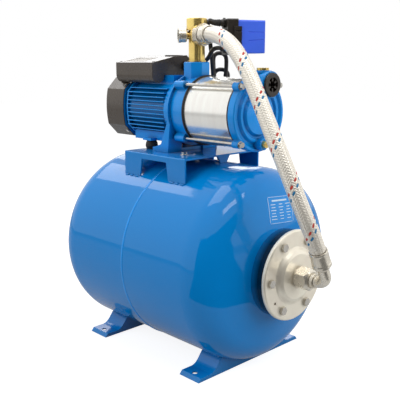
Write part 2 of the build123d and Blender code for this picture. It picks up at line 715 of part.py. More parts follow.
def stage_cup(x):
    """Stage housing: a rim, a wall with the eye hole on its +X end, and return vanes on the wall."""
    rim_inner = cup_radius - 3.0
    wall = 3.0
    end = stage_pitch
    cup = turned_x([(0, rim_inner), (0, cup_radius), (end, cup_radius), (end, 19.0), (end - wall, 19.0),
                    (end - wall, rim_inner)])
    return Pos(x, 0, pump_z) * cup


def build_stages():
    wheels = []
    cups = []
    for index in range(stage_count):
        start = lantern_face + index * stage_pitch
        cups.append(stage_cup(start))
        wheels.append(impeller(start + 7.5))
    for index in range(stage_count - 1):
        wall_x = lantern_face + (index + 1) * stage_pitch
        for k in range(6):
            blade = Rot(0, 90, 0) * Rot(0, 0, k * 60) * curved_vane(24, cup_radius - 4, -50, 2.0, 4.5)
            cups[index] += Pos(wall_x, 0, pump_z) * blade
    nodes["stage_housings"] = group(cups)
    nodes["impellers"] = group(wheels)


def build_suction_casing():
    """Front casting: bolted flange, ringed face, suction, priming and drain bosses."""
    start = sleeve_end
    rim = start + casing_flange
    casting = turned_x([(start - spigot, cup_radius - 6), (start - spigot, cup_radius), (start, cup_radius),
                        (start, casing_rim_radius), (rim - 1.5, casing_rim_radius),
                        (rim, casing_rim_radius - 1.5),
                        (rim, 61), (rim - 4, 57), (rim - 4, 53), (rim + 1, 49), (rim + 1, 45), (rim - 3, 42),
                        (rim - 3, 39), (rim + 2, 35), (rim + 4, 20), (rim + 4, 0), (rim - 4, 0),
                        (rim - 8, cup_radius - 6)], pump_z)
    lug_z = pump_z + rod_circle
    lug = rod_x(rod_lug_radius, start, rim, 0, lug_z)
    lug += block(start, rim, -rod_lug_radius, rod_lug_radius, pump_z + cup_radius, lug_z)
    lugs = around_x(lug, 4, 0, pump_z, 45)
    suction = rod_x(suction_boss_radius - 3, rim - 8, suction_face - 8, 0, pump_z + suction_rise)
    suction += rod_x(suction_boss_radius, suction_face - 14, suction_face, 0, pump_z + suction_rise)
    prime_x = rim + 6
    prime = rod_z(13.5, pump_z + suction_rise, pump_z + 76, prime_x, 0) + rod_z(15, pump_z + 72,
                                                                                pump_z + 76, prime_x, 0)
    drain = rod_x(10.5, rim - 6, rim + 12, 0, pump_z - suction_rise)
    casting = casting + lugs + [suction, prime, drain]
    casting -= rod_x(suction_bore, rim - 10, suction_face + 1, 0, pump_z + suction_rise)
    casting -= rod_z(8.0, pump_z + suction_rise, pump_z + 80, prime_x, 0)
    casting -= rod_x(5.0, rim - 12, rim + 14, 0, pump_z - suction_rise)
    for hole in around_x(rod_x(rod_radius + gap, start - 1, rim + 1, 0, lug_z), 4, 0, pump_z, 45):
        casting -= hole
    nodes["suction_casing"] = casting

    plug_z = pump_z + suction_rise
    plug = rod_x(20.5, suction_face, suction_face + 4, 0, plug_z)
    plug += rod_x(suction_bore - fit, suction_face - 14, suction_face, 0, plug_z)
    plug = fillet(plug.edges().filter_by(GeomType.CIRCLE).group_by(Axis.X)[-1], 1.2)
    plug -= rod_x(12.5, suction_face - 10, suction_face + 5, 0, plug_z)
    grips = around_x(block(suction_face - 11, suction_face + 2.5, -1.6, 1.6, plug_z + 6.0, plug_z + 13.0),
                     6, 0, plug_z)
    nodes["suction_plug"] = plug + grips
    prime_top = pump_z + 76
    prime_plug = rod_z(10.6, prime_top, prime_top + 4.5, prime_x, 0) + rod_z(8.0 - fit, prime_top - 8,
                                                                             prime_top, prime_x, 0)
    prime_plug -= block(prime_x - 12, prime_x + 12, -1.2, 1.2, prime_top + 2.4, prime_top + 5)
    nodes["priming_plug"] = prime_plug
    head = rim + 12
    drain_z = pump_z - suction_rise
    drain_plug = rod_x(6.2, head, head + 6, 0, drain_z) + rod_x(5.0 - fit, head - 12, head, 0, drain_z)
    drain_plug -= block(head + 4, head + 7, -8, 8, drain_z - 0.9, drain_z + 0.9)
    nodes["drain_plug"] = drain_plug


# ---- rotor -----------------------------------------------------------------------------------
def build_rotor():
    front = sleeve_end - spigot - 6
    rear = motor_rear - fan_cover_gap - 30
    nodes["pump_shaft"] = rod_x(shaft_radius, rear, front, 0, pump_z)
    stator_mid = motor_rear + 52
    core = ring_x(stator_bore - rotor_gap, shaft_radius + fit, stator_mid - stator_length / 2,
                  stator_mid + stator_length / 2, 0, pump_z)
    nodes["rotor_core"] = core
    hub_x = rear + 2
    hub = ring_x(13, shaft_radius + fit, hub_x, hub_x + 18, 0, pump_z)
    disc = ring_x(50, 12, hub_x + 14, hub_x + 16.5, 0, pump_z)
    blades = around_x(block(hub_x + 1, hub_x + 15, -1.2, 1.2, pump_z + 12, pump_z + 50), 7, 0, pump_z)
    nodes["cooling_fan"] = hub + disc + blades
    seal = ring_x(14, shaft_radius + fit, 1.0, 8, 0, pump_z) + ring_x(12, shaft_radius + fit, 8, 20, 0,
                                                                      pump_z)
    nodes["shaft_seal"] = seal
    nodes["seal_seat"] = ring_x(16 - fit, shaft_radius + 1, -8, 0.7, 0, pump_z)


# ---- fittings on the outlet ------------------------------------------------------------------
def at_port(shape, turn):
    """Place a shape drawn along +X from the fitting's axis at a port's direction."""
    return Pos(boss_x, 0, port_z) * Rot(0, 0, turn) * shape


def at_outlet(shape):
    return Pos(boss_x, 0, boss_top_z) * shape


def build_fitting():
    """Brass five-way piece: tube, top socket, hose port and two small ports."""
    tube = at_outlet(rod_z(fitting_tube, 0, fitting_top - 22) + rod_z(fitting_tube + 2.2, 0, 3)
                     + rod_z(outlet_bore - fit, -14, 0) + rod_z(fitting_socket, fitting_top - 22,
                                                                fitting_top))
    tube = chamfer(tube.edges().filter_by(GeomType.CIRCLE).group_by(Axis.Z)[-1], 0.8)
    collar = turned_x([(6, 0), (6, port_radius - 4), (12, port_radius), (17, port_radius),
                       (19, port_radius - 1.5),
                       (19, 0)])
    pipe = rod_x(outlet_bore - 1, 6, 25)
    small = rod_x(7.5, 10, gauge_back)
    long_small = rod_x(7.5, 10, 22)
    body = tube + at_port(collar + pipe, hose_turn) + at_port(small, gauge_turn) + at_port(long_small,
                                                                                           switch_turn)
    body -= at_outlet(rod_z(12.5, -15, fitting_top - 18))
    body -= at_outlet(rod_z(outlet_bore, fitting_top - 18, fitting_top + 1))
    body -= at_port(rod_x(11.5, 0, 26), hose_turn)
    body -= at_port(rod_x(3.0, 0, 30), gauge_turn)
    body -= at_port(rod_x(3.0, 0, 30), switch_turn)
    nodes["five_way_fitting"] = body


def build_gauge():
    """Small pressure gauge seen edge on: case, dial, needle on its staff, and lens."""
    back = gauge_back
    front = back + gauge_depth
    radius = gauge_radius
    case = turned_x([(back, 0), (back, radius - 1), (back + 2, radius), (front - 5, radius),
                     (front - 5, radius + 0.6),
                     (front, radius + 0.6), (front, radius - 2), (front - 2.2, radius - 2),
                     (front - 2.2, radius - 1.2),
                     (back + 3, radius - 1.2), (back + 3, 0)])
    nodes["gauge_case"] = at_port(case, gauge_turn)
    dial = ring_x(radius - 1.2 - fit, 1.0, back + 3, front - 5.4)
    nodes["gauge_dial"] = at_port(dial, gauge_turn)
    tip = radius - 4.5
    lean = 45.0
    pointer = block(front - 4.9, front - 4.3, -0.7, 0.7, -4.0, tip)
    needle = rod_x(1.9, front - 5.0, front - 4.0) + rod_x(1.0 - fit, front - 8.5, front - 5.0)
    needle += Rot(180 - lean, 0, 0) * pointer
    nodes["gauge_needle"] = at_port(needle, gauge_turn)
    lens = rod_x(radius - 1.2 - fit, front - 3.6, front - 2.2)
    nodes["gauge_lens"] = at_port(lens, gauge_turn)


def build_switch():
    """Pressure switch on its side port: moulded base, cover, contact plate and range spring."""
    start = switch_start
    base_end = start + switch_base_depth
    end = base_end + switch_cover_depth
    half = switch_half_width
    middle = (switch_base_top + switch_base_bottom) / 2
    tall = (switch_base_top - switch_base_bottom) / 2
    base = block(start, base_end, -half, half, switch_base_bottom, switch_base_top)
    base = fillet(base.edges().filter_by(Axis.X), 3.0)
    base += turned_x([(start - 7, 0), (start - 7, 12), (start - 2, 13.2), (start, 13.2), (start, 0)])
    base += block(base_end - 8, base_end + 6, -half - 3, -half, -20, 16)
    for groove in (-1, 1):
        base -= block(base_end - 9, base_end + 7, -half - 4, -half - 1.6, groove * 9 - 3.5, groove * 9 - 0.5)
    base -= block(base_end - 12, base_end + 1, -half + 4, half - 4, switch_base_bottom + 4,
                  switch_base_top - 4)
    for height in (gland_spread, -gland_spread):
        base -= rod_x(cable_radius + 0.8, start - 8, base_end + 1, gland_offset, height)
    nodes["switch_base"] = at_port(base, switch_turn)

    shell = Rot(0, 90, 0) * extrude(RectangleRounded(2 * tall - 4, 2 * half - 1, 4),
                                    amount=switch_cover_depth, taper=1)
    hollow = extrude(RectangleRounded(2 * tall - 9, 2 * half - 6, 3), amount=switch_cover_depth - 2, taper=1)
    shell -= Rot(0, 90, 0) * hollow
    shell = Pos(base_end, 0, middle) * shell
    for height in (5.0, -9.0):
        tilt = 2 if height > 0 else -4
        shell -= Pos((base_end + end) / 2 + 14, -half - 0.4, height) * Rot(0, tilt, 0) * Box(40, 4.4, 1.6)
    shell -= rod_x(screw_head_radius + gap, end - 3, end + 1, 0, middle)
    shell -= rod_x(screw_radius + fit, end - 6, end - 1, 0, middle)
    nodes["switch_cover"] = at_port(shell, switch_turn)
    screw = rod_x(screw_head_radius, end - 2.4, end - 0.4, 0, middle) + rod_x(screw_radius, base_end + 20,
                                                                              end - 2, 0, middle)
    screw -= block(end - 1.2, end, -4, 4, middle - 0.5, middle + 0.5)
    nodes["box_cover_screws"] = group(box_screws + [at_port(screw, switch_turn)])
    floor = base_end - 12
    plate = block(floor, floor + 3, -18, 18, middle - 12, middle + 12)
    post = rod_x(4.5, floor, base_end + 20, 0, middle)
    lever = block(base_end + 8, base_end + 10, 6, 20, middle - 16, middle + 16)
    lever += block(floor, base_end + 9, 14, 17, middle - 8, middle + 8)
    terminals = block(base_end - 4, base_end + 12, -21, -13, middle - 18, middle + 18)
    terminals += block(floor, base_end, -18, -14, middle - 12, middle + 12)
    spring = ring_x(8.0, 4.5 + gap, floor + 3, base_end + 16, 0, middle)
    nodes["switch_mechanism"] = group([at_port(part,
                                               switch_turn) for part in (plate + post + lever + terminals,
                                               spring)])
    glands = [at_port(Pos(start, gland_offset, height) * Rot(0, 0, 180) * cable_gland(gland_length,
                                                                                      gland_radius),
                      switch_turn) for height in (gland_spread, -gland_spread)]
    box_gland = Pos(box_end, box_gland_y, box_gland_z) * cable_gland(gland_length, gland_radius)
    nodes["cable_glands"] = group(glands + [box_gland])
    hub = start - 7
    nipple = Pos(22, 0, 0) * Rot(0, 90, 0) * hex_rod(19, 8) + rod_x(8.5, 30, hub - 6)
    nipple += Pos(hub - 6, 0, 0) * Rot(0, 90, 0) * hex_rod(21, 6)
    nipple -= rod_x(3.0, 0, start)
    nodes["switch_nipple"] = at_port(nipple, switch_turn)


# ---- hose ------------------------------------------------------------------------------------
leg_lean = 25.0                 # the elbow's leg leans this much towards -Y
elbow_corner_x = 329.0
elbow_radius = 10.0
elbow_bend = 21.0
ferrule_start = 36.0            # along the leg from the elbow's corner
ferrule_end = 72.0
ferrule_floor = 44.0
nut_start = 20.0                # along the hose port from the fitting's axis
nut_length = 18.0
leg = Vector(0, -math.sin(math.radians(leg_lean)), math.cos(math.radians(leg_lean)))
elbow_corner = Vector(elbow_corner_x, 0, tank_z)
top_way = Vector(math.cos(math.radians(hose_turn)), math.sin(math.radians(hose_turn)), 0)
top_axis = Vector(boss_x, 0, port_z)
hose_points = [
    top_axis + top_way * (nut_start + nut_length + 7),
    top_axis + top_way * 88,
    Vector(150, -45, 584),
    Vector(199, -56, 534),
    Vector(244, -64, 463),
    Vector(287, -66, 391),
    Vector(315, -57, 324),
    elbow_corner + leg * 90,
    elbow_corner + leg * ferrule_floor,
]


def corner_radii(points, share=0.45):
    """Largest arc each pair of runs allows, one per inner point."""
    radii = []
    for before, here, after in zip(points, points[1:], points[2:]):
        run_in = here - before
        run_out = after - here
        half_turn = math.radians(run_in.get_angle(run_out)) / 2
        radii.append(share * min(run_in.length, run_out.length) / math.tan(half_turn))
    return radii


def tube(name, points, radius):
    """Round tube along a route of straight runs joined by tangent arcs."""
    radii = corner_radii(points)
    path = FilletPolyline(*points, radius=radii)
    start = Plane(origin=points[0], z_dir=points[1] - points[0])
    shape = sweep(start * Circle(radius), path=path)
    length = path.length
    print(f"{name}: length {length:.1f}, smallest radius {min(radii):.1f}, radii {[round(r) for r in radii]},"
          f" volume {shape.volume:.0f} against {math.pi * radius ** 2 * length:.0f}")
    return shape


def along(point, way, shape):
    """Place a shape drawn along +X from the origin at a point, pointing a given way."""
    return Plane(origin=point, x_dir=Vector(0, 0, 1) if abs(way.Z) < 0.9 else Vector(1, 0, 0), z_dir=way) * (
        Rot(0, -90, 0) * shape)


def build_hose():
    nodes["braided_hose"] = tube("braided_hose", hose_points, hose_radius)
    inside = hose_radius + fit
    end = nut_start + nut_length
    shape = [(0, 0), (0, 18.5), (2, 20.5), (nut_length - 2, 20.5), (nut_length, 18.5), (nut_length, 0)]
    nut = Rot(0, 90, 0) * hex_rod(37, nut_length) & turned_x(shape)
    nut -= rod_x(outlet_bore - 1 + fit, -1, 25 - nut_start)
    nut -= rod_x(9, 0, nut_length + 1)
    nodes["hose_top_nut"] = at_port(Pos(nut_start, 0, 0) * nut, hose_turn)
    upper = turned_x([(end, 9), (end, 17.0), (end + 3, 17.8), (end + 9, 17.2), (end + 13, 16.4),
                      (end + 19, 16.4),
                      (end + 21, 15.6), (end + 21, inside), (end + 7, inside), (end + 7, 9)])
    lower = turned_x([(ferrule_start, 7.5), (ferrule_start, 12), (ferrule_start + 3, 14),
                      (ferrule_start + 6, 16.6),
                      (ferrule_start + 11, 16.6), (ferrule_start + 13, 15.8), (ferrule_end - 5, 15.8),
                      (ferrule_end - 2, 16.4), (ferrule_end, 15.6), (ferrule_end, inside),
                      (ferrule_floor, inside),
                      (ferrule_floor, 7.5)])
    nodes["hose_ferrules"] = group([at_port(upper, hose_turn), along(elbow_corner, leg, lower)])
    face = neck_end + membrane_lip + flange_plate + flange_dome_rise
    union_start = face + spigot_collar_length
    union_length = 26.0
    seat = face + spigot_length     # the flange's threaded spigot ends here, against the elbow's collar
    route = FilletPolyline(Vector(seat, 0, tank_z), elbow_corner, elbow_corner + leg * ferrule_start,
                           radius=elbow_bend)
    bend = sweep(Plane(origin=route @ 0, z_dir=(1, 0, 0)) * Circle(elbow_radius), path=route)
    bend += rod_x(12.5, union_start + union_length, union_start + union_length + 7, 0, tank_z)
    bend += rod_x(11.5, seat, union_start + union_length, 0, tank_z)
    bend -= rod_x(7.0, seat - 1, seat + 24, 0, tank_z)
    nodes["hose_elbow"] = bend
    profile = [(0, 0), (0, 18), (3, 21), (union_length - 6, 21), (union_length, 15.5), (union_length, 0)]
    union = Pos(union_start, 0, tank_z) * (Rot(0, 90, 0) * hex_rod(36, union_length) & turned_x(profile))
    union -= rod_x(spigot_thread + fit, union_start - 1, seat, 0, tank_z)
    union -= rod_x(11.5 + fit, seat, union_start + union_length + 1, 0, tank_z)
    nodes["tank_union_nut"] = union


# ---- leads -----------------------------------------------------------------------------------
switch_way = Vector(math.cos(math.radians(switch_turn)), math.sin(math.radians(switch_turn)), 0)
switch_side = Vector(-switch_way.Y, switch_way.X, 0)
gland_tip = top_axis + switch_way * (switch_start - gland_length) + switch_side * gland_offset
upper_exit = gland_tip + Vector(0, 0, gland_spread)
lower_exit = gland_tip - Vector(0, 0, gland_spread)
box_exit = Vector(box_end + gland_length, box_gland_y, box_gland_z)
motor_lead_points = [
    lower_exit,
    lower_exit - switch_way * 8,
    Vector(29.2, 24.2, 577.8),
    Vector(14.7, 30, 563),
    Vector(-11.9, 35, 551),
    Vector(-27.5, 24.6, 548),
    box_exit,
]
mains_lead_points = [
    upper_exit,
    upper_exit - switch_way * 8,
    Vector(28.7, 24.1, 629.7),
    Vector(18.5, 27.8, 634),
    Vector(9.5, 31.5, 626),
    Vector(8.5, 38.5, 601),
    Vector(5.7, 46.2, 575),
    Vector(1.2, 54.5, 546),
    Vector(-2.3, 60.9, 515),
    Vector(10.4, 79.8, 515),
    Vector(11.2, 83.3, 544),
    Vector(9.7, 84.2, 573),
    Vector(-10.4, 67.6, 573),
    Vector(-11.6, 69.9, 544),
    Vector(-10.5, 72.6, 514.5),
    Vector(4.4, 93.7, 510),
    Vector(3.9, 97.2, 540),
    Vector(-19.4, 79.2, 542),
    Vector(-24.3, 78.5, 504),
    Vector(-34, 90, 452),
    Vector(-45, 106.5, 402),
    Vector(-52, 126, 352),
    Vector(-55, 157, 305),
    Vector(-56, 183, 253),
    Vector(-56, 194, 197),
    Vector(-55, 198, 145),
    Vector(-56, 200, 100),
    Vector(-60, 204, 62),
    Vector(-72, 209, 31),
    Vector(-93, 214, 11),
    Vector(-121, 216.5, cable_radius),
    Vector(-147, 218, cable_radius),
    Vector(-172, 218, cable_radius),
]
coil_centre = (-190.0, 268.0)
coil_half_width = 2 * cable_radius + 0.2
coil_height = 4 * cable_radius - 0.4
plug_radius = 18.5
plug_start = -178.0             # x where the plug's relief leaves the coil
plug_body_start = -148.0
plug_body_length = 36.0
pin_radius = 2.4
pin_length = 19.0
pin_half_spacing = 9.5


def build_leads():
    nodes["motor_lead"] = tube("motor_lead", motor_lead_points, cable_radius)
    nodes["mains_lead"] = tube("mains_lead", mains_lead_points, cable_radius)
    inner = coil_radius - coil_half_width
    outer = coil_radius + coil_half_width
    edge = cable_radius * 0.6
    ring = make_face(Polyline((inner + edge, 0, 0), (outer - edge, 0, 0), (outer, 0, edge),
                              (outer, 0, coil_height - edge), (outer - edge, 0, coil_height),
                              (inner + edge, 0, coil_height), (inner, 0, coil_height - edge),
                              (inner, 0, edge),
                              close=True).edges())
    coil = Pos(*coil_centre) * revolve(ring, Axis.Z)
    last = mains_lead_points[-1]
    coil -= rod_x(cable_radius + gap, last.X, last.X + 60, last.Y, last.Z)
    plug_y = coil_centre[1] + coil_radius
    coil -= rod_x(plug_radius, plug_body_start, plug_body_start + 40, plug_y, plug_radius)
    coil -= rod_x(6.5 + gap, plug_start, plug_body_start, plug_y, plug_radius)
    nodes["mains_coil"] = coil
    body_end = plug_body_start + plug_body_length
    plug = turned_x([(plug_start, 0), (plug_start, cable_radius + 0.6), (plug_body_start - 4, 6.5),
                     (plug_body_start, 10), (plug_body_start + 6, plug_radius - 2),
                     (plug_body_start + 12, plug_radius),
                     (body_end, plug_radius), (body_end, 0)], plug_radius, plug_y)
    for side in (-1, 1):
        plug += rod_x(pin_radius, body_end, body_end + pin_length, plug_y + side * pin_half_spacing,
                      plug_radius)
        plug -= block(body_end - 24, body_end + 1, plug_y - 2.5, plug_y + 2.5,
                      plug_radius + side * 16.5 - 1.2,
                      plug_radius + side * 16.5 + 4.5)
    nodes["mains_plug"] = plug


build_tank()
build_tank_flange()
nodes["foot_motor_end"] = build_foot(-foot_spacing / 2)
nodes["foot_flange_end"] = build_foot(foot_spacing / 2)
nodes["pump_bracket"] = build_bracket()
build_motor()
build_fan_cover()
build_motor_foot()
build_terminal_box()
build_lantern()
build_pump_bolts()
build_sleeve()
build_stages()
build_suction_casing()
build_rotor()
build_fitting()
build_gauge()
build_switch()
build_hose()
build_leads()

os.makedirs("parts", exist_ok=True)
for name, shape in nodes.items():
    export_step(shape, f"parts/{name}.step")
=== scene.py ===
"""Looks of a horizontal centrifugal pump on its pressure tank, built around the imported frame."""

import json
import math
from bisect import bisect_right

import bmesh
import bpy
from bpy.props import FloatProperty, FloatVectorProperty, IntProperty, PointerProperty
from mathutils import Matrix, Vector
from mathutils.bvhtree import BVHTree

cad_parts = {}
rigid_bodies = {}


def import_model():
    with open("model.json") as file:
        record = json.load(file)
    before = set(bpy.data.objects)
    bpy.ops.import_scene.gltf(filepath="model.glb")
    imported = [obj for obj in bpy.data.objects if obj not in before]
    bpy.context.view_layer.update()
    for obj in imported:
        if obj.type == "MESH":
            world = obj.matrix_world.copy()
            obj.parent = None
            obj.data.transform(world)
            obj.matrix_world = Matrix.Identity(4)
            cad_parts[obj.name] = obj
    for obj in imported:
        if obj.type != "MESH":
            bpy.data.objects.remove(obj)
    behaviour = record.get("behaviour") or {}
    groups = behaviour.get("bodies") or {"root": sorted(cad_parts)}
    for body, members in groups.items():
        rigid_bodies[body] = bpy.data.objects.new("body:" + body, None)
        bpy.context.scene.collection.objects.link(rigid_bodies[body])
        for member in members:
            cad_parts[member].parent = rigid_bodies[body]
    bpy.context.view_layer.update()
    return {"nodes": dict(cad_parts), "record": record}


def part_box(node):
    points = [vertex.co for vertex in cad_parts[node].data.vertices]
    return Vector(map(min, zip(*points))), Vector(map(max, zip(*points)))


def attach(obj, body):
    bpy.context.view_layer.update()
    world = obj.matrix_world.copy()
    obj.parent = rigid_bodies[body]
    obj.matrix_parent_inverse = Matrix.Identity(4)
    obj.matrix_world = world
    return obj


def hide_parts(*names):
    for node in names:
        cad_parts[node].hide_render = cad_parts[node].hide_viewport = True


bl_info = {
    "name": "Booster pump set",
    "version": (1, 0, 0),
    "blender": (4, 5, 0),
    "location": "View3D > Sidebar > Pump set",
    "description": "Surfaces, hose braid, leads and small parts of a water pump on its tank",
    "category": "Add Mesh",
}

for leftover in list(bpy.data.objects):
    bpy.data.objects.remove(leftover)
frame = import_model()
nodes = frame["nodes"]
MM, MICRON = 0.001, 0.000001
BODY = "booster_set"


# ---- places ----
shell_low, shell_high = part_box("tank_shell_flange_end")
TANK_Z, TANK_RADIUS = (shell_low.z + shell_high.z) / 2, (shell_high.z - shell_low.z) / 2
FITTING = Vector((0.013, 0.0, 0.605))  # five-way fitting's axis, level with its side ports
GAUGE_TURN = -124.0
GAUGE_DIAL = 0.0298                    # dial's face from the fitting's axis
COIL_CENTRE = Vector((-0.190, 0.268, 0.0))
COIL_TIE_TURN = 120.0


def heading(turn, rise):
    """Direction at a turn about Z from the frame's X and a rise above the floor, in degrees."""
    turn, rise = math.radians(turn), math.radians(rise)
    return Vector((math.cos(turn) * math.cos(rise), math.sin(turn) * math.cos(rise), math.sin(rise)))


# ---- room ----
CAMERA_PLACE = (0.9414, -0.8889, 0.5592)
CAMERA_FACING = (-0.719, 0.695)          # way over the floor
CAMERA_DROP = 11.9                       # degrees below level
CAMERA_LENS, CAMERA_SENSOR = 59.7, 36.0  # millimetres
ROOM_MIDDLE = Vector((0.02, 0.0, 0.3))   # what the lamps are turned towards
FLOOR_REACH = 7.0
FLOOR_DROP = 0.0004                      # keeps the floor clear of the feet's undersides
FLOOR_GREY = 0.40
FLOOR_GLOW = {"Is Camera Ray": 0.86, "Is Transmission Ray": 0.86, "Is Glossy Ray": 0.20}
WORLD_LEVEL = 0.42
WORLD_GLOW = {"Is Camera Ray": 0.58, "Is Transmission Ray": 0.58, "Is Glossy Ray": 0.55}
# name, turn and rise from the room's middle in degrees, distance, width, height, radiance
SOFTBOXES = [
    ("left_softbox", -114.0, 24.0, 2.6, 2.8, 1.7, 1.6),
    ("back_softbox", 178.0, 40.0, 2.6, 0.9, 0.6, 2.4),
    ("shoulder_strip", -5.0, 52.0, 2.2, 1.2, 0.40, 5.0),
    ("right_softbox", 30.0, 20.0, 2.4, 2.0, 1.8, 2.1),
    ("top_softbox", -165.0, 78.0, 2.2, 1.5, 1.2, 2.6),
    ("rear_softbox", 140.0, 27.0, 2.6, 1.5, 1.0, 2.4),
]
UNMIRRORED = ("left_softbox", "right_softbox")  # lamps that don't show in glossy surfaces
# dark screens that only reflections see: name, turns, distances and heights of the two edges, radiance
ROOM_SCREENS = [
    ("front_wall", (-76.0, 13.0), (2.3, 2.3), (0.0, 1.55), 0.02),
    ("front_ground", (-76.0, 13.0), (0.48, 2.3), (0.0, 0.0), 0.02),
]


# ---- mesh making ----
BEAD_STEPS = 8          # faces across a weld bead's arc
BEAD_TIP = 0.25         # share of its size that a bead's end keeps
BEAD_TAPER_POINTS = 3.0
RIPPLE_DEPTH = 0.28     # share of a bead's height
SHORT_BEAD_CELL = 0.0004
SHORT_BEAD_HEIGHT = 0.0022


class Shape:
    """Collects vertices and faces, then becomes one piece."""

    def __init__(self):
        self.verts = []
        self.faces = []

    def add(self, verts, faces, place=None):
        base = len(self.verts)
        self.verts += [place @ Vector(v) for v in verts] if place else [Vector(v) for v in verts]
        self.faces += [tuple(base + i for i in face) for face in faces]
        return self

    def rings(self, loops, place=None, closed=True, caps=True, joined=False):
        """Skin over a list of equal loops; caps close the first and last, joined ties them together."""
        count = len(loops[0])
        verts = [point for loop in loops for point in loop]
        faces = []
        rows = len(loops) if joined else len(loops) - 1
        for row in range(rows):
            here, there = row * count, ((row + 1) % len(loops)) * count
            for i in range(count if closed else count - 1):
                j = (i + 1) % count
                faces.append((here + i, here + j, there + j, there + i))
        if caps and not joined:
            faces.append(tuple(reversed(range(count))))
            faces.append(tuple(range((len(loops) - 1) * count, len(loops) * count)))
        return self.add(verts, faces, place)

    def piece(self, name, slot, look=None, replaces=(), sharp=35.0, bevel=0.0):
        """Makes the piece, with the finish named look, or else the slot's own."""
        mesh = bpy.data.meshes.new(name)
        mesh.from_pydata([tuple(v) for v in self.verts], [], self.faces)
        mesh.validate()
        made = bpy.data.objects.new(name, mesh)
        bpy.context.scene.collection.objects.link(made)
        clean(mesh)
        mesh.shade_smooth()
        mesh.set_sharp_from_angle(angle=math.radians(sharp))
        if bevel:
            eased = made.modifiers.new("eased edges", "BEVEL")
            eased.width = bevel
            eased.segments = 2
            eased.limit_method = "ANGLE"
            eased.angle_limit = math.radians(sharp)
            eased.harden_normals = True
        mesh.materials.append(bpy.data.materials[look or slot])
        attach(made, BODY)
        if replaces:
            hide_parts(*replaces)
        return made


def clean(mesh):
    """Outward normals and no doubled points."""
    work = bmesh.new()
    work.from_mesh(mesh)
    bmesh.ops.remove_doubles(work, verts=work.verts, dist=1e-7)
    bmesh.ops.recalc_face_normals(work, faces=work.faces)
    work.to_mesh(mesh)
    work.free()


def rounded_rectangle(width, height, corner, steps):
    """Outline with each corner an arc of so many steps."""
    points = []
    for index, (sx, sy) in enumerate(((1, 1), (-1, 1), (-1, -1), (1, -1))):
        cx, cy = sx * (width / 2 - corner), sy * (height / 2 - corner)
        for step in range(steps + 1):
            turn = math.radians(90 * index + 90 * step / steps)
            points.append((cx + corner * math.cos(turn), cy + corner * math.sin(turn)))
    return points


class Sheet:
    """A flat drawing, laid on a node's surface by casting it along one way."""

    def __init__(self, node, centre, across, up, way, turn=0.0):
        mesh = nodes[node].data
        faces = [tuple(face.vertices) for face in mesh.polygons]
        self.tree = BVHTree.FromPolygons([vertex.co for vertex in mesh.vertices], faces)
        self.centre, self.way = Vector(centre), Vector(way)
        across, up, turn = Vector(across), Vector(up), math.radians(turn)
        self.across = across * math.cos(turn) + up * math.sin(turn)
        self.up = up * math.cos(turn) - across * math.sin(turn)

    def laid(self, x, y, lift):
        """Where a point of the drawing lies, lift above the surface."""
        start = self.centre + self.across * x + self.up * y
        place, normal, _, _ = self.tree.ray_cast(start, self.way)
        if place is None:
            raise RuntimeError("nothing to lie on")
        return place + (normal if normal.dot(self.way) < 0 else -normal) * lift

    def patch(self, shape, x, y, width, height, lift, sink, cell, corner=0.0):
        """Thin rectangle with its middle at (x, y), from sink below the surface to lift above it."""
        columns, rows = max(1, round(width / cell)), max(1, round(height / cell))
        top = []
        for row in range(rows + 1):
            for column in range(columns + 1):
                px, py = width * (column / columns - 0.5), height * (row / rows - 0.5)
                over_x, over_y = abs(px) - (width / 2 - corner), abs(py) - (height / 2 - corner)
                if corner and over_x > 0 and over_y > 0 and math.hypot(over_x, over_y) > corner:
                    share = corner / math.hypot(over_x, over_y)
                    px -= math.copysign(over_x * (1 - share), px)
                    py -= math.copysign(over_y * (1 - share), py)
                top.append(self.laid(x + px, y + py, lift))
        wide = columns + 1
        faces = [(r * wide + c, r * wide + c + 1, (r + 1) * wide + c + 1, (r + 1) * wide + c)
                 for r in range(rows) for c in range(columns)]
        rim = list(range(columns)) + [r * wide + columns for r in range(rows)]
        rim += [rows * wide + c for c in range(columns, 0, -1)] + [r * wide for r in range(rows, 0, -1)]
        verts = top + [top[index] + self.way * (lift + sink) for index in rim]
        count, base = len(rim), len(top)
        for i in range(count):
            j = (i + 1) % count
            faces.append((rim[i], base + i, base + j, rim[j]))
        faces.append(tuple(range(base, base + count)))
        return shape.add(verts, faces)


def weld_bead(shape, path, outward, width, height, ripple, closed=False):
    """Weld bead along a path, with crescent ripples; outward gives the way it bulges at each point."""
    loops = []
    reach = 0.0
    count = len(path)
    for index, here in enumerate(path):
        last = index == count - 1 and not closed
        there = 2 * here - path[index - 1] if last else path[(index + 1) % count]
        tangent = (there - here).normalized()
        out = outward(here)
        side = tangent.cross(out).normalized()
        to_end = min(index, count - 1 - index)
        taper = 1.0 if closed else min(1.0, BEAD_TIP + to_end / BEAD_TAPER_POINTS)
        loop = []
        for step in range(BEAD_STEPS + 1):
            turn = math.pi * step / BEAD_STEPS
            across = -math.cos(turn)
            wave = 0.5 + 0.5 * math.cos(2 * math.pi * (reach / ripple + 0.5 * across ** 2))
            rise = math.sin(turn) * height * (1 - RIPPLE_DEPTH + RIPPLE_DEPTH * wave)
            loop.append(here + side * (across * width / 2 * taper) + out * (rise * taper))
        for edge in (1, -1):
            loop.append(here + side * (edge * width / 2 * taper) - out * height)
        loops.append(loop)
        reach += (there - here).length
    return shape.rings(loops, joined=closed)


def short_bead(shape, start, length, outward, width, ripple):
    """Straight bead along the frame's X."""
    steps = max(2, round(abs(length) / SHORT_BEAD_CELL))
    path = [start + Vector((length * step / steps, 0, 0)) for step in range(steps + 1)]
    weld_bead(shape, path, lambda point: outward, width, SHORT_BEAD_HEIGHT, ripple)


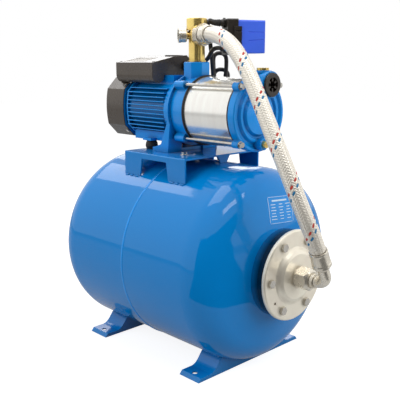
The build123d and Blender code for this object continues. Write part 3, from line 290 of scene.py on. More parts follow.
# ---- finishes ----
def linear(red, green, blue):
    """Screen colour, 0 to 255, as the shader's linear colour."""
    def one(value):
        value /= 255
        return value / 12.92 if value <= 0.04045 else ((value + 0.055) / 1.055) ** 2.4
    return one(red), one(green), one(blue)


DUST = linear(205, 203, 198)


def tinted(colour, share):
    """Colour with each channel times share, at most 1, and full cover."""
    return tuple(min(1.0, channel * share) for channel in colour[:3]) + (1.0,)


def finish(name, colour, roughness, metallic=0.0, clouds=(9, 0.06), grain=(420, 10), fine=(2600, 0),
           stretch=(1, 1, 1), edge=0.0005, worn=None, spread=0.18, ior=1.5, dust=0.0,
           fade=None, hollow=None):
    """Procedural finish: cloudy colour, uneven gloss, eased edges and two sizes of grain.

    clouds is a scale and how much the colour varies, grain and fine are a scale and a depth in microns,
    edge is a radius, worn is the colour of rubbed edges. fade holds two places along X and the colour of
    the painted shade past them, hollow the reach, strength and colour of the painted shade in recesses.
    """
    plain = bpy.data.materials.get(name)
    if plain:
        bpy.data.materials.remove(plain)
    material = bpy.data.materials.new(name)
    material.use_nodes = True
    tree = material.node_tree
    shader = tree.nodes["Principled BSDF"]
    shader.inputs["Metallic"].default_value = metallic
    shader.inputs["IOR"].default_value = ior

    def node(kind, **values):
        made = tree.nodes.new("ShaderNode" + kind)
        for key, value in values.items():
            made.inputs[key.replace("_", " ")].default_value = value
        return made

    def link(source, target):
        tree.links.new(source, target)

    place = node("TexCoord").outputs["Object"]
    mapping = node("Mapping", Scale=stretch)
    link(place, mapping.inputs["Vector"])
    drawn = mapping.outputs["Vector"]

    def noise(scale, detail=3.0, source=place, rough=0.55):
        made = node("TexNoise", Scale=scale, Detail=detail, Roughness=rough)
        link(source, made.inputs["Vector"])
        return made.outputs["Fac"]

    def ranged(value, low, high, to_low, to_high):
        made = node("MapRange", From_Min=low, From_Max=high, To_Min=to_low, To_Max=to_high)
        link(value, made.inputs["Value"])
        return made.outputs["Result"]

    def mixed(first, second, share):
        made = tree.nodes.new("ShaderNodeMix")
        made.data_type = "RGBA"
        link(share, made.inputs[0])
        link(first, made.inputs[6])
        made.inputs[7].default_value = tinted(second, 1.0)
        return made.outputs[2]

    ramp = node("ValToRGB")
    for stop, position, share in zip(ramp.color_ramp.elements, (0.3, 0.7), (1 - clouds[1], 1 + clouds[1])):
        stop.position = position
        stop.color = tinted(colour, share)
    link(noise(clouds[0], 5.0, drawn), ramp.inputs["Fac"])
    shown = ramp.outputs["Color"]

    soft = node("Bevel", Radius=edge)
    soft.samples = 4
    eased = soft.outputs["Normal"]
    if worn:
        turn = node("VectorMath")
        turn.operation = "DOT_PRODUCT"
        link(eased, turn.inputs[0])
        link(node("NewGeometry").outputs["Normal"], turn.inputs[1])
        rubbed = node("Math")
        rubbed.operation = "MULTIPLY"
        link(ranged(turn.outputs["Value"], 0.985, 0.90, 0.0, 1.0), rubbed.inputs[0])
        link(ranged(noise(130.0, 4.0), 0.48, 0.66, 0.0, 0.65), rubbed.inputs[1])
        shown = mixed(shown, worn, rubbed.outputs["Value"])
    if dust:
        shown = mixed(shown, DUST, ranged(noise(55.0, 8.0, rough=0.75), 0.62, 0.80, 0.0, dust))
    # painted shade: past the two places along X the colour turns to the given shade colour
    if fade:
        start, end, far_shade = fade
        apart = node("SeparateXYZ")
        link(place, apart.inputs["Vector"])
        shown = mixed(shown, far_shade, ranged(apart.outputs["X"], start, end, 0.0, 1.0))
    # painted shade: darkens the colour where ambient occlusion finds a recess
    if hollow:
        reach, amount, shaded = hollow
        recess = node("AmbientOcclusion", Distance=reach)
        recess.samples = 6
        shown = mixed(shown, shaded, ranged(recess.outputs["AO"], 0.25, 0.95, amount, 0.0))
    link(shown, shader.inputs["Base Color"])

    smooth, dull = roughness * (1 - spread), roughness * (1 + spread)
    link(ranged(noise(38.0, 6.0, drawn, 0.65), 0.3, 0.7, smooth, dull), shader.inputs["Roughness"])

    for scale, depth in (grain, fine):
        if depth:
            bump = node("Bump", Strength=1.0, Distance=depth * MICRON)
            link(noise(scale, 3.0, drawn), bump.inputs["Height"])
            link(eased, bump.inputs["Normal"])
            eased = bump.outputs["Normal"]
    link(eased, shader.inputs["Normal"])
    return material


def clear_finish(name, colour, roughness):
    """Clear moulding with a faint scratch pattern."""
    made = finish(name, colour, roughness, clouds=(30, 0.01), grain=(700, 2), edge=0.0002, ior=1.49)
    made.node_tree.nodes["Principled BSDF"].inputs["Transmission Weight"].default_value = 0.96


def paint_finishes(blue):
    """Enamels of tank, frame, castings and data plate."""
    # castings and motor: the tank's blue 1.22 times brighter, painted light standing for their glossier
    # surface
    cast_blue_painted_light = tinted(blue, 1.22)
    worn_blue = tinted(blue, 1.9)
    finish("tank_paint", blue, 0.055, clouds=(2.2, 0.03), grain=(46, 12), fine=(900, 0.4), edge=0.0006,
           spread=0.3, ior=1.42)
    # neck ring: the tank's blue at half, going almost black towards the flange, as painted shade under the
    # flange's overhang
    low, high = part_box("tank_neck_ring")
    reach = high.x - low.x
    finish("neck_paint", tinted(blue, 0.5), 0.14, clouds=(30, 0.06), grain=(200, 10), edge=0.0008,
           fade=(low.x + 0.05 * reach, low.x + 0.65 * reach, tinted(blue, 0.04)))
    finish("frame_paint", blue, 0.10, clouds=(6, 0.05), grain=(240, 6), edge=0.0010, worn=worn_blue,
           dust=0.02, hollow=(0.030, 0.55, tinted(blue, 0.14)))
    finish("casting_paint", cast_blue_painted_light, 0.22, clouds=(14, 0.07), grain=(420, 50), fine=(1700, 10),
           edge=0.0014, worn=worn_blue, dust=0.04, hollow=(0.016, 0.75, tinted(blue, 0.16)))
    finish("motor_paint", cast_blue_painted_light, 0.24, clouds=(18, 0.08), grain=(800, 20), edge=0.0008, worn=worn_blue,
           dust=0.04, hollow=(0.011, 0.65, tinted(blue, 0.18)))
    # seam: the tank's blue 1.3 times brighter, a painted highlight along the weld bead
    finish("seam_paint", tinted(blue, 1.3), 0.16, clouds=(40, 0.06), grain=(300, 4), edge=0.0003)
    finish("plate_film", tinted(blue, 1.12), 0.16, clouds=(20, 0.05), grain=(500, 4), edge=0.0002)


def metal_finishes():
    finish("zinc_steel", linear(206, 202, 194), 0.24, metallic=1.0, clouds=(120, 0.10), grain=(900, 12),
           edge=0.0004)
    finish("plated_flange", linear(252, 243, 226), 0.38, metallic=0.5, clouds=(24, 0.07), grain=(260, 10),
           fine=(1500, 4), edge=0.0008, dust=0.06, hollow=(0.006, 0.5, linear(150, 136, 112)))
    finish("stainless", linear(254, 251, 245), 0.22, metallic=0.8, clouds=(10, 0.04), grain=(260, 3),
           stretch=(9, 1, 1), edge=0.0003)
    finish("brass", linear(252, 216, 130), 0.24, metallic=0.8, clouds=(40, 0.12), grain=(700, 18),
           edge=0.0006, worn=linear(240, 214, 150), hollow=(0.006, 0.6, linear(150, 104, 50)))
    finish("satin_fitting", linear(236, 229, 214), 0.27, metallic=0.7, clouds=(60, 0.09), grain=(700, 12),
           edge=0.0006, hollow=(0.004, 0.6, linear(120, 108, 90)))
    finish("core_steel", linear(88, 90, 94), 0.45, metallic=1.0, clouds=(40, 0.15), grain=(1000, 40),
           stretch=(14, 1, 1))
    finish("copper", linear(184, 96, 48), 0.38, metallic=1.0, clouds=(60, 0.15), grain=(900, 80),
           stretch=(1, 0.3, 0.3))
    finish("bare_steel", linear(176, 176, 174), 0.28, metallic=1.0, clouds=(50, 0.08), grain=(900, 8),
           stretch=(4, 1, 1))


def moulded_finishes(box_brown, switch_violet):
    """Plastics, rubbers, ceramic, printed inks and the gauge's lens."""
    finish("black_plastic", tinted(box_brown, 0.34), 0.36, clouds=(30, 0.12), grain=(1500, 10), edge=0.0008,
           worn=tinted(box_brown, 1.4), dust=0.04, hollow=(0.006, 0.6, tinted(box_brown, 0.08)))
    finish("lid_plastic", box_brown, 0.27, clouds=(22, 0.07), grain=(1300, 5), edge=0.0010,
           worn=tinted(box_brown, 1.6), dust=0.03)
    finish("switch_cover_plastic", switch_violet, 0.34, clouds=(20, 0.05), grain=(1600, 12), edge=0.0010,
           dust=0.06)
    finish("white_plastic", linear(222, 219, 208), 0.45, clouds=(20, 0.05), grain=(1200, 15))
    finish("white_dial", linear(236, 234, 228), 0.45, clouds=(60, 0.02), grain=(1500, 4), edge=0.0002)
    finish("ceramic", linear(228, 222, 206), 0.3, clouds=(30, 0.03), grain=(900, 4))
    finish("rubber", linear(34, 32, 31), 0.62, clouds=(40, 0.15), grain=(1400, 30), edge=0.0012, dust=0.12)
    finish("cable_rubber", linear(44, 40, 38), 0.40, clouds=(40, 0.12), grain=(900, 12), edge=0.0003,
           dust=0.05)
    finish("lid_plate", linear(170, 164, 154), 0.45, clouds=(60, 0.05), grain=(900, 3), edge=0.0002)
    finish("gauge_ink", linear(24, 24, 26), 0.5, clouds=(90, 0.1), grain=(1500, 4), edge=0.0001)
    for name, ink, roughness in (("plate_ink", linear(196, 222, 244), 0.42),
                                 ("lid_plate_ink", linear(84, 78, 72), 0.40)):
        finish(name, ink, roughness, clouds=(200, 0.12), grain=(900, 6), edge=0.0001)
    clear_finish("clear_lens", linear(238, 242, 244), 0.05)


def hose_finishes(colours):
    ivory = colours.braid_ivory
    # braid: strong painted shade in the grooves between strands, through hollow
    finish("hose_braid", ivory, 0.34, metallic=0.45, clouds=(300, 0.06), grain=(2400, 6), edge=0.0001,
           hollow=(0.0024, 1.0, linear(120, 94, 66)))
    # liner: a dark copy of the braid's ivory, both the inner tube and painted shade in the gaps between
    # strands
    finish("hose_liner", tinted(ivory, 0.22), 0.5, clouds=(200, 0.15), grain=(2400, 20), edge=0.0001)
    for name, thread in (("tracer_red", colours.tracer_red), ("tracer_teal", colours.tracer_teal)):
        finish(name, thread, 0.45, clouds=(300, 0.12), grain=(2400, 20), edge=0.0001)


# nodes whose finish isn't that of their slot
NODE_FINISH = {
    "tank_flange": "plated_flange",
    "tank_neck_ring": "neck_paint",
    "gauge_case": "satin_fitting",
}


# ---- cords ----
HOSE_ROUTE = [
    (0.0553, -0.0154, 0.605), (0.0957, -0.0301, 0.605), (0.150, -0.045, 0.584), (0.199, -0.056, 0.534),
    (0.244, -0.064, 0.463), (0.287, -0.066, 0.391), (0.315, -0.057, 0.324), (0.329, -0.0380, 0.2726),
    (0.329, -0.0186, 0.2309),
]
MOTOR_LEAD_ROUTE = [
    (0.0409, 0.0342, 0.582), (0.0364, 0.0276, 0.582), (0.0292, 0.0242, 0.5778), (0.0147, 0.030, 0.563),
    (-0.0119, 0.035, 0.551), (-0.0275, 0.0246, 0.548), (-0.037, 0.024, 0.548),
]
MAINS_LEAD_ROUTE = [
    (0.0409, 0.0342, 0.628), (0.0364, 0.0276, 0.628), (0.0287, 0.0241, 0.6297), (0.0185, 0.0278, 0.634),
    (0.0095, 0.0315, 0.626), (0.0085, 0.0385, 0.601), (0.0057, 0.0462, 0.575), (0.0012, 0.0545, 0.546),
    (-0.0023, 0.0609, 0.515), (0.0104, 0.0798, 0.515), (0.0112, 0.0833, 0.544), (0.0097, 0.0842, 0.573),
    (-0.0104, 0.0676, 0.573), (-0.0116, 0.0699, 0.544), (-0.0105, 0.0726, 0.5145), (0.0044, 0.0937, 0.510),
    (0.0039, 0.0972, 0.540), (-0.0194, 0.0792, 0.542), (-0.0243, 0.0785, 0.504), (-0.034, 0.090, 0.452),
    (-0.045, 0.1065, 0.402), (-0.052, 0.126, 0.352), (-0.055, 0.157, 0.305), (-0.056, 0.183, 0.253),
    (-0.056, 0.194, 0.197), (-0.055, 0.198, 0.145), (-0.056, 0.200, 0.100), (-0.060, 0.204, 0.062),
    (-0.072, 0.209, 0.031), (-0.093, 0.214, 0.011), (-0.121, 0.2165, 0.0042), (-0.147, 0.218, 0.0042),
    (-0.172, 0.218, 0.0042),
]
COIL_END = (-0.1765, 0.318, 0.0185)  # where the lead goes into its plug
# degrees turned, radius of the turn, height of the cable's middle
COIL_STOPS = [
    (0, 0.0500, 0.0042), (50, 0.0540, 0.0042), (250, 0.0540, 0.0042), (325, 0.0459, 0.0042),
    (600, 0.0459, 0.0042), (690, 0.0480, 0.0100), (720, 0.0495, 0.0116), (860, 0.0500, 0.0116),
    (900, 0.0500, 0.0160),
]
COIL_POINTS_PER_TURN = 18
CABLE_RADIUS = 0.0042
HOSE_RADIUS = 0.014
LINER_DEPTH = 0.0011     # liner's surface below the hose's outside
BRAID_DEPTH = 0.0006     # strands' middle layer below the hose's outside
BRAID_INSET = 0.002      # braid stops this far inside the ferrules' mouths
BRAID_COVER = 0.74       # share of the room between strands that a strand fills
BRAID_LIFT = 0.00050     # how far a strand rises over and sinks under the others
BRAID_CROWN = 0.00050    # how far a strand's edges lie below its middle
BRAID_WIRE = 0.00007     # ridge of the wires that make up a strand
BRAID_WIRES = 3          # ridges on each side of a strand's middle
BRAID_SLANT = 0.707      # strands lie at about 45 degrees
RELIEF_RADII = (0.0068, 0.0046)
RELIEF_RIBS, RIB_DEPTH = 5, 0.0005


def coil_turns(turns):
    """Points of the put-away lead: one wide turn, one inside it, and a half turn laid on top."""
    shrink = math.cos(math.pi / COIL_POINTS_PER_TURN)  # the spline cuts inside its points
    points = []
    for index in range(1, int(turns * COIL_POINTS_PER_TURN) + 1):
        turned = index * 360 / COIL_POINTS_PER_TURN
        for (before, radius0, height0), (after, radius1, height1) in zip(COIL_STOPS, COIL_STOPS[1:]):
            if before <= turned <= after:
                share = (turned - before) / (after - before)
                share = share * share * (3 - 2 * share)
                radius = radius0 + (radius1 - radius0) * share
                height = height0 + (height1 - height0) * share
        angle = math.radians(-90 - turned)
        across, along = radius / shrink * math.cos(angle), radius / shrink * math.sin(angle)
        points.append((COIL_CENTRE.x + across, COIL_CENTRE.y + along, height))
    return points


def cord_curve(name, route, radius, slot, resolution=12):
    """One open NURBS spline through the route's control points, with a round section."""
    data = bpy.data.curves.new(name, "CURVE")
    data.dimensions = "3D"
    spline = data.splines.new("NURBS")
    spline.points.add(len(route) - 1)
    for point, place in zip(spline.points, route):
        point.co = (*place, 1.0)
        point.radius = radius
    spline.order_u = 3
    spline.use_endpoint_u = True
    spline.resolution_u = resolution
    data.resolution_u = resolution
    data.bevel_depth = 1.0
    data.bevel_resolution = 5
    data.use_fill_caps = True
    data.materials.append(bpy.data.materials[slot])
    made = bpy.data.objects.new(name, data)
    bpy.context.scene.collection.objects.link(made)
    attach(made, BODY)
    return made


def centreline(curve):
    """Points along a cord's own spline."""
    depth = curve.data.bevel_depth
    curve.data.bevel_depth = 0.0
    line = bpy.data.meshes.new_from_object(curve)
    points = [vertex.co.copy() for vertex in line.vertices]
    bpy.data.meshes.remove(line)
    curve.data.bevel_depth = depth
    return points


class Line:
    """A centreline and the ways across it, which don't twist about it."""

    def __init__(self, points):
        self.points = points
        self.reach = [0.0]
        for here, there in zip(points, points[1:]):
            self.reach.append(self.reach[-1] + (there - here).length)
        self.length = self.reach[-1]
        self.tangents = [(there - here).normalized() for here, there in zip(points, points[1:])]
        self.tangents.append(self.tangents[-1])
        side = self.tangents[0].cross(Vector((0, 0, 1)))
        self.sides = []
        for tangent in self.tangents:
            side = (side - tangent * side.dot(tangent)).normalized()
            self.sides.append(side)

    def at(self, distance):
        """Point, tangent and the two ways across it, at a distance along the line."""
        distance = min(max(distance, 0.0), self.length - 1e-9)
        low = bisect_right(self.reach, distance) - 1
        high = low + 1
        share = (distance - self.reach[low]) / (self.reach[high] - self.reach[low])
        point = self.points[low].lerp(self.points[high], share)
        tangent = self.tangents[low].lerp(self.tangents[high], share).normalized()
        side = self.sides[low].lerp(self.sides[high], share)
        side = (side - tangent * side.dot(tangent)).normalized()
        return point, tangent, side, tangent.cross(side)


def braid_strands(line, count, pitch, hand, only):
    """Flat strands of one hand that pass over two and under two strands of the other hand."""
    shape = Shape()
    radius = HOSE_RADIUS - BRAID_DEPTH
    start, end = BRAID_INSET, line.length - BRAID_INSET
    crossings = 2 * count
    steps = int((end - start) / pitch * crossings * 2)
    half_width = math.pi * radius / count * BRAID_COVER
    for index in only:
        loops = []
        for step in range(steps + 1):
            distance = start + (end - start) * step / steps
            point, tangent, side, other = line.at(distance)
            passed = crossings * distance / pitch
            place = passed + 2 * index if hand > 0 else 2 * index - passed
            height = radius + BRAID_LIFT * hand * math.cos(math.pi * (place - 0.5) / 2)
            turn = hand * 2 * math.pi * distance / pitch + 2 * math.pi * index / count
            loop = []
            for wire in range(-BRAID_WIRES, BRAID_WIRES + 1):
                across = wire / BRAID_WIRES
                shift = across * half_width * BRAID_SLANT
                angle = turn + shift / radius
                out = side * math.cos(angle) + other * math.sin(angle)
                rise = height - BRAID_CROWN * across ** 2 + BRAID_WIRE * (-1) ** wire
                loop.append(point + out * rise - tangent * (hand * shift))
            loops.append(loop)
        shape.rings(loops, closed=False, caps=False)
    return shape


def bend_relief(line, start, end):
    """Ribbed sleeve round the start of a cord, thinner towards its end."""
    steps, sides = 40, 28
    loops = []
    for step in range(steps + 1):
        share = step / steps
        point, _, side, other = line.at(start + (end - start) * share)
        radius = RELIEF_RADII[0] + (RELIEF_RADII[1] - RELIEF_RADII[0]) * share
        if 0.06 < share < 0.94:
            radius -= RIB_DEPTH * (0.5 - 0.5 * math.cos(2 * math.pi * RELIEF_RIBS * share))
        turns = [2 * math.pi * i / sides for i in range(sides)]
        loops.append([point + (side * math.cos(turn) + other * math.sin(turn)) * radius for turn in turns])
    return Shape().rings(loops).piece("mains_lead_relief", "rubber")


# ---- small pieces ----
# each bead's start and length along the tank
BRACKET_BEADS = ((0.0455, 0.011), (0.0605, 0.009), (0.0735, 0.010))
FOOT_BEADS = ((0.004, 0.016), (0.030, 0.016))
FOOT_BEAD_Y = 0.0828
# lengths of the short rules that stand for lines of print, in millimetres, row by row
TANK_RULES = ((12, 9, 14), (10, 12, 9), (13, 8, 11), (9, 11, 13), (12, 10, 8), (14, 9, 11))
LID_RULES = ((34, 12), (20, 24), (26, 18), (22, 22))
SCALE_START, SCALE_SWEEP = 225, 270  # degrees, clockwise
SCALE_DIVISIONS, SCALE_TOP = 50, 10
SCALE_RADIUS, NUMERAL_RADIUS = 0.0104, 0.0067
PIPE_PITCH = 0.002309  # of a G1 thread
THREAD_RADIUS, THREAD_RISE = 0.01515, 0.00055
THREAD_DROP, THREAD_LENGTH = 0.0012, 0.0160


# ---- properties ----
class PumpSetColours(bpy.types.PropertyGroup):
    """Colours of the painted and moulded pieces and of the hose"""

    paint_blue: FloatVectorProperty(name="Paint blue", description="Enamel of tank, frame and castings",
                                    subtype="COLOR", min=0, max=1, default=linear(2, 134, 214))
    plastic_brown: FloatVectorProperty(name="Box plastic", description="Terminal box lid and fan cover",
                                       subtype="COLOR", min=0, max=1, default=linear(80, 72, 64))
    switch_violet: FloatVectorProperty(name="Switch cover", description="Pressure switch cover",
                                       subtype="COLOR", min=0, max=1, default=linear(70, 112, 246))
    braid_ivory: FloatVectorProperty(name="Braid", description="Hose braid",
                                     subtype="COLOR", min=0, max=1, default=linear(250, 243, 230))
    tracer_red: FloatVectorProperty(name="Red tracer", description="Red thread in the braid",
                                    subtype="COLOR", min=0, max=1, default=linear(196, 62, 48))
    tracer_teal: FloatVectorProperty(name="Teal tracer", description="Teal thread in the braid",
                                     subtype="COLOR", min=0, max=1, default=linear(36, 122, 170))


class PumpSetSizes(bpy.types.PropertyGroup):
    """Sizes of the pieces that the frame leaves plain"""

    braid_carriers: IntProperty(name="Braid carriers", description="Strands of each hand in the braid",
                                default=16, min=8, max=48)
    braid_pitch: FloatProperty(name="Braid pitch", description="Hose length for one turn of a strand",
                               default=0.076, unit="LENGTH")
    coil_turns: FloatProperty(name="Coil turns", description="Turns of the put-away mains lead",
                              default=2.5)
    relief_length: FloatProperty(name="Bend relief", description="Length of the mains lead's relief",
                                 default=0.022, unit="LENGTH")


def settings():
    return bpy.context.scene.pump_set_colours, bpy.context.scene.pump_set_sizes


# ---- operators ----
class PUMPSET_OT_stage(bpy.types.Operator):
    """Camera, floor and lamps"""

    bl_idname = "pumpset.stage"
    bl_label = "Stage"

    def execute(self, context):
        scene = context.scene
        scene.view_settings.view_transform = "Standard"
        eye = bpy.data.cameras.new("camera")
        eye.lens, eye.sensor_width = CAMERA_LENS, CAMERA_SENSOR
        camera = bpy.data.objects.new("camera", eye)
        scene.collection.objects.link(camera)
        camera.location = CAMERA_PLACE
        drop = math.radians(CAMERA_DROP)
        look = Vector((*(way * math.cos(drop) for way in CAMERA_FACING), -math.sin(drop)))
        camera.rotation_mode = "QUATERNION"
        camera.rotation_quaternion = look.to_track_quat("-Z", "Y")
        scene.camera = camera

        self.floor()
        for name, turn, rise, distance, width, height, radiance in SOFTBOXES:
            data = bpy.data.lights.new(name, "AREA")
            data.shape = "RECTANGLE"
            data.size, data.size_y = width, height
            data.energy = radiance * math.pi * width * height
            made = bpy.data.objects.new(name, data)
            scene.collection.objects.link(made)
            made.location = ROOM_MIDDLE + heading(turn, rise) * distance
            made.rotation_mode = "QUATERNION"
            made.rotation_quaternion = heading(turn, rise).to_track_quat("Z", "Y")
            made.visible_glossy = name not in UNMIRRORED
        for screen in ROOM_SCREENS:
            self.room_screen(*screen)

        world = bpy.data.worlds.new("studio")
        world.use_nodes = True
        tree = world.node_tree
        surround = tree.nodes["Background"]
        surround.inputs["Color"].default_value = (1, 1, 1, 1)
        tree.links.new(self.by_ray(tree, WORLD_LEVEL, WORLD_GLOW), surround.inputs["Strength"])
        scene.world = world
        return {"FINISHED"}

    @staticmethod
    def by_ray(tree, level, extra):
        """A level for diffuse light, with an extra amount for each named kind of ray."""
        path = tree.nodes.new("ShaderNodeLightPath")
        total = None
        for kind, amount in extra.items():
            more = tree.nodes.new("ShaderNodeMath")
            more.operation = "MULTIPLY_ADD"
            more.inputs[1].default_value = amount
            more.inputs[2].default_value = level
            tree.links.new(path.outputs[kind], more.inputs[0])
            if total:
                tree.links.new(total, more.inputs[2])
            total = more.outputs["Value"]
        return total

    @staticmethod
    def lit_surface(name, verts, faces, base, roughness):
        """Piece of the room that glows by itself and has no gloss; gives the object and its shader tree."""
        mesh = bpy.data.meshes.new(name)
        mesh.from_pydata(verts, [], faces)
        made = bpy.data.objects.new(name, mesh)
        bpy.context.scene.collection.objects.link(made)
        material = bpy.data.materials.new(name)
        material.use_nodes = True
        shader = material.node_tree.nodes["Principled BSDF"]
        shader.inputs["Base Color"].default_value = (base, base, base, 1)
        shader.inputs["Roughness"].default_value = roughness
        shader.inputs["Specular IOR Level"].default_value = 0.0
        shader.inputs["Emission Color"].default_value = (1, 1, 1, 1)
        mesh.materials.append(material)
        return made, material.node_tree

    def floor(self):
        """Pale floor that the camera sees as white, with the object's soft shadow kept."""
        corners = [(x * FLOOR_REACH, y * FLOOR_REACH, 0) for x, y in ((-1, -1), (1, -1), (1, 1), (-1, 1))]
        made, tree = self.lit_surface("floor", corners, [(0, 1, 2, 3)], FLOOR_GREY, 0.8)
        made.location.z = -FLOOR_DROP
        glow = tree.nodes["Principled BSDF"].inputs["Emission Strength"]
        tree.links.new(self.by_ray(tree, 0.0, FLOOR_GLOW), glow)

    def room_screen(self, name, turns, distances, heights, radiance):
        """Curved screen or ring of ground that only reflections see."""
        steps = 24
        verts = []
        for step in range(steps + 1):
            out = heading(turns[0] + (turns[1] - turns[0]) * step / steps, 0.0)
            verts += [(out.x * distance, out.y * distance, z) for distance, z in zip(distances, heights)]
        faces = [(2 * i, 2 * i + 2, 2 * i + 3, 2 * i + 1) for i in range(steps)]
        made, tree = self.lit_surface(name, verts, faces, 0.0, 0.5)
        tree.nodes["Principled BSDF"].inputs["Emission Strength"].default_value = radiance
        for ray in ("camera", "diffuse", "shadow", "transmission"):
            setattr(made, "visible_" + ray, False)


class PUMPSET_OT_finishes(bpy.types.Operator):
    """Finishes on every piece of the frame"""

    bl_idname = "pumpset.finishes"
    bl_label = "Finishes"

    def execute(self, context):
        colours, _ = settings()
        paint_finishes(colours.paint_blue)
        metal_finishes()
        moulded_finishes(colours.plastic_brown, colours.switch_violet)
        hose_finishes(colours)
        for part in frame["record"]["subparts"]:
            carried = nodes[part["node"]]
            slot = NODE_FINISH.get(part["node"], part["material_slot"])
            carried.data.materials.clear()
            carried.data.materials.append(bpy.data.materials[slot])
        return {"FINISHED"}


class PUMPSET_OT_hose(bpy.types.Operator):
    """Braided hose between the fitting and the tank's flange"""

    bl_idname = "pumpset.hose"
    bl_label = "Hose"

    def execute(self, context):
        _, sizes = settings()
        liner = cord_curve("hose_liner", HOSE_ROUTE, HOSE_RADIUS - LINER_DEPTH, "hose_liner", 24)
        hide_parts("braided_hose")
        line = Line(centreline(liner))
        count = sizes.braid_carriers
        red, teal = 0, count - 2
        plain = [index for index in range(count) if index not in (red, teal)]
        for name, hand, only, look in (("braid_right_hand", 1, plain, "hose_braid"),
                                       ("braid_left_hand", -1, range(count), "hose_braid"),
                                       ("braid_red_tracer", 1, [red], "tracer_red"),
                                       ("braid_teal_tracer", 1, [teal], "tracer_teal")):
            strands = braid_strands(line, count, sizes.braid_pitch, hand, only)
            strands.piece(name, "hose_braid", look, sharp=80)
        return {"FINISHED"}


class PUMPSET_OT_leads(bpy.types.Operator):
    """Mains lead with its coil and plug, and the lead from switch to motor"""

    bl_idname = "pumpset.leads"
    bl_label = "Leads"

    def execute(self, context):
        _, sizes = settings()
        motor = cord_curve("motor_lead_cable", MOTOR_LEAD_ROUTE, CABLE_RADIUS, "cable_rubber")
        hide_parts("motor_lead")
        route = MAINS_LEAD_ROUTE + coil_turns(sizes.coil_turns) + [COIL_END]
        mains = cord_curve("mains_lead_cable", route, CABLE_RADIUS, "cable_rubber", 8)
        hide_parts("mains_lead", "mains_coil")
        relief = bend_relief(Line(centreline(mains)), 0.0003, sizes.relief_length)
        return {"FINISHED"}


class PUMPSET_OT_welds(bpy.types.Operator):
    """Weld beads of the tank's seam, the pump's bracket and the feet"""

    bl_idname = "pumpset.welds"
    bl_label = "Welds"

    def execute(self, context):
        self.seam()
        beads = Shape()
        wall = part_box("pump_bracket")[1].y
        touch = TANK_Z + math.sqrt(TANK_RADIUS ** 2 - (wall + 0.0006) ** 2) + 0.0004
        for side in (-1, 1):
            outward = Vector((0, side * 0.9, 0.45)).normalized()
            for end in (-1, 1):
                for start, length in BRACKET_BEADS:
                    place = Vector((end * start, side * (wall + 0.0008), touch))
                    short_bead(beads, place, end * length, outward, 0.0044, 0.0023)
        touch = TANK_Z - math.sqrt(TANK_RADIUS ** 2 - FOOT_BEAD_Y ** 2) - 0.0006
        for foot in ("foot_motor_end", "foot_flange_end"):
            for side in (-1, 1):
                outward = Vector((0, side * 0.95, -0.25)).normalized()
                for start, length in FOOT_BEADS:
                    place = Vector((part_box(foot)[0].x + start, side * FOOT_BEAD_Y, touch))
                    short_bead(beads, place, length, outward, 0.0046, 0.0025)
        beads.piece("bracket_and_foot_beads", "tank_paint", "frame_paint", sharp=60)
        return {"FINISHED"}

    @staticmethod
    def seam():
        low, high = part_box("tank_weld_seam")
        crown, ripple = 0.0011, 0.0027
        count = 2160
        ring = []
        for index in range(count):
            turn = 2 * math.pi * index / count
            out = Vector((0, math.cos(turn), math.sin(turn)))
            ring.append(Vector((0, 0, TANK_Z)) + out * (TANK_RADIUS + 0.0001))

        def from_axis(point):
            return Vector((0, point.y, point.z - TANK_Z)).normalized()

        bead = weld_bead(Shape(), ring, from_axis, high.x - low.x, crown, ripple, closed=True)
        bead.piece("seam_bead", "tank_paint", "seam_paint", replaces=("tank_weld_seam",), sharp=60)


class PUMPSET_OT_plates(bpy.types.Operator):
    """Blank data plates on the tank's dish and in the terminal box lid"""

    bl_idname = "pumpset.plates"
    bl_label = "Data plates"

    def execute(self, context):
        self.tank_plate()
        self.lid_plate()
        return {"FINISHED"}

    @staticmethod
    def tank_plate():
        centre = (0.4, 0.006, TANK_Z + 0.111)
        dish = Sheet("tank_shell_flange_end", centre, (0, 1, 0), (0, 0, 1), (-1, 0, 0), -4.0)
        wide, tall, corner, border = 0.066, 0.048, 0.003, 0.0016
        film = dish.patch(Shape(), 0, 0, wide, tall, 0.00022, 0.0002, 0.003, corner)
        film.piece("tank_plate", "tank_paint", "plate_film", sharp=50)
        rules = Shape()
        ink = {"lift": 0.00036, "sink": 0.00030, "cell": 0.002}
        for side in (-1, 1):
            dish.patch(rules, side * (wide / 2 - border), 0, 0.0009, tall - 2 * corner, **ink)
            dish.patch(rules, 0, side * (tall / 2 - border), wide - 2 * corner, 0.0006, **ink)
        dish.patch(rules, -0.002, 0.0160, 0.040, 0.0028, **ink)
        column_pitch, row_pitch, first_row, rule_height = 0.020, 0.0050, 0.0095, 0.0013
        for row, lengths in enumerate(TANK_RULES):
            for column, length in enumerate(lengths):
                x, y = column_pitch * (column - 1), first_row - row_pitch * row
                dish.patch(rules, x, y, length * MM, rule_height, **ink)
        rules.piece("tank_plate_rules", "tank_paint", "plate_ink", sharp=50)

    @staticmethod
    def lid_plate():
        low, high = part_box("terminal_box_lid")
        centre = (low.x + 0.046, low.y + 0.027, high.z + 0.05)
        lid = Sheet("terminal_box_lid", centre, (1, 0, 0), (0, 1, 0), (0, 0, -1))
        wide, tall, corner, border = 0.0615, 0.0350, 0.002, 0.002
        plate = lid.patch(Shape(), 0, 0, wide, tall, 0.00035, 0.0001, 0.0035, corner)
        plate.piece("lid_plate", "lid_plastic", "lid_plate", sharp=50)
        rules = Shape()
        ink = {"lift": 0.00050, "sink": 0.00045, "cell": 0.004}
        line = 0.0007
        for side in (-1, 1):
            lid.patch(rules, side * (wide / 2 - border), 0, line, tall - 2 * border + line, **ink)
            lid.patch(rules, 0, side * (tall / 2 - border), wide - 2 * border + line, line, **ink)
        row_pitch, first_row, rule_height, gap = 0.0068, 0.0105, 0.0011, 0.003
        for row, lengths in enumerate(LID_RULES):
            start = -0.0265
            for length in lengths:
                x, y = start + length * MM / 2, first_row - row_pitch * row
                lid.patch(rules, x, y, length * MM, rule_height, **ink)
                start += length * MM + gap
        rules.piece("lid_plate_rules", "lid_plastic", "lid_plate_ink", sharp=50)


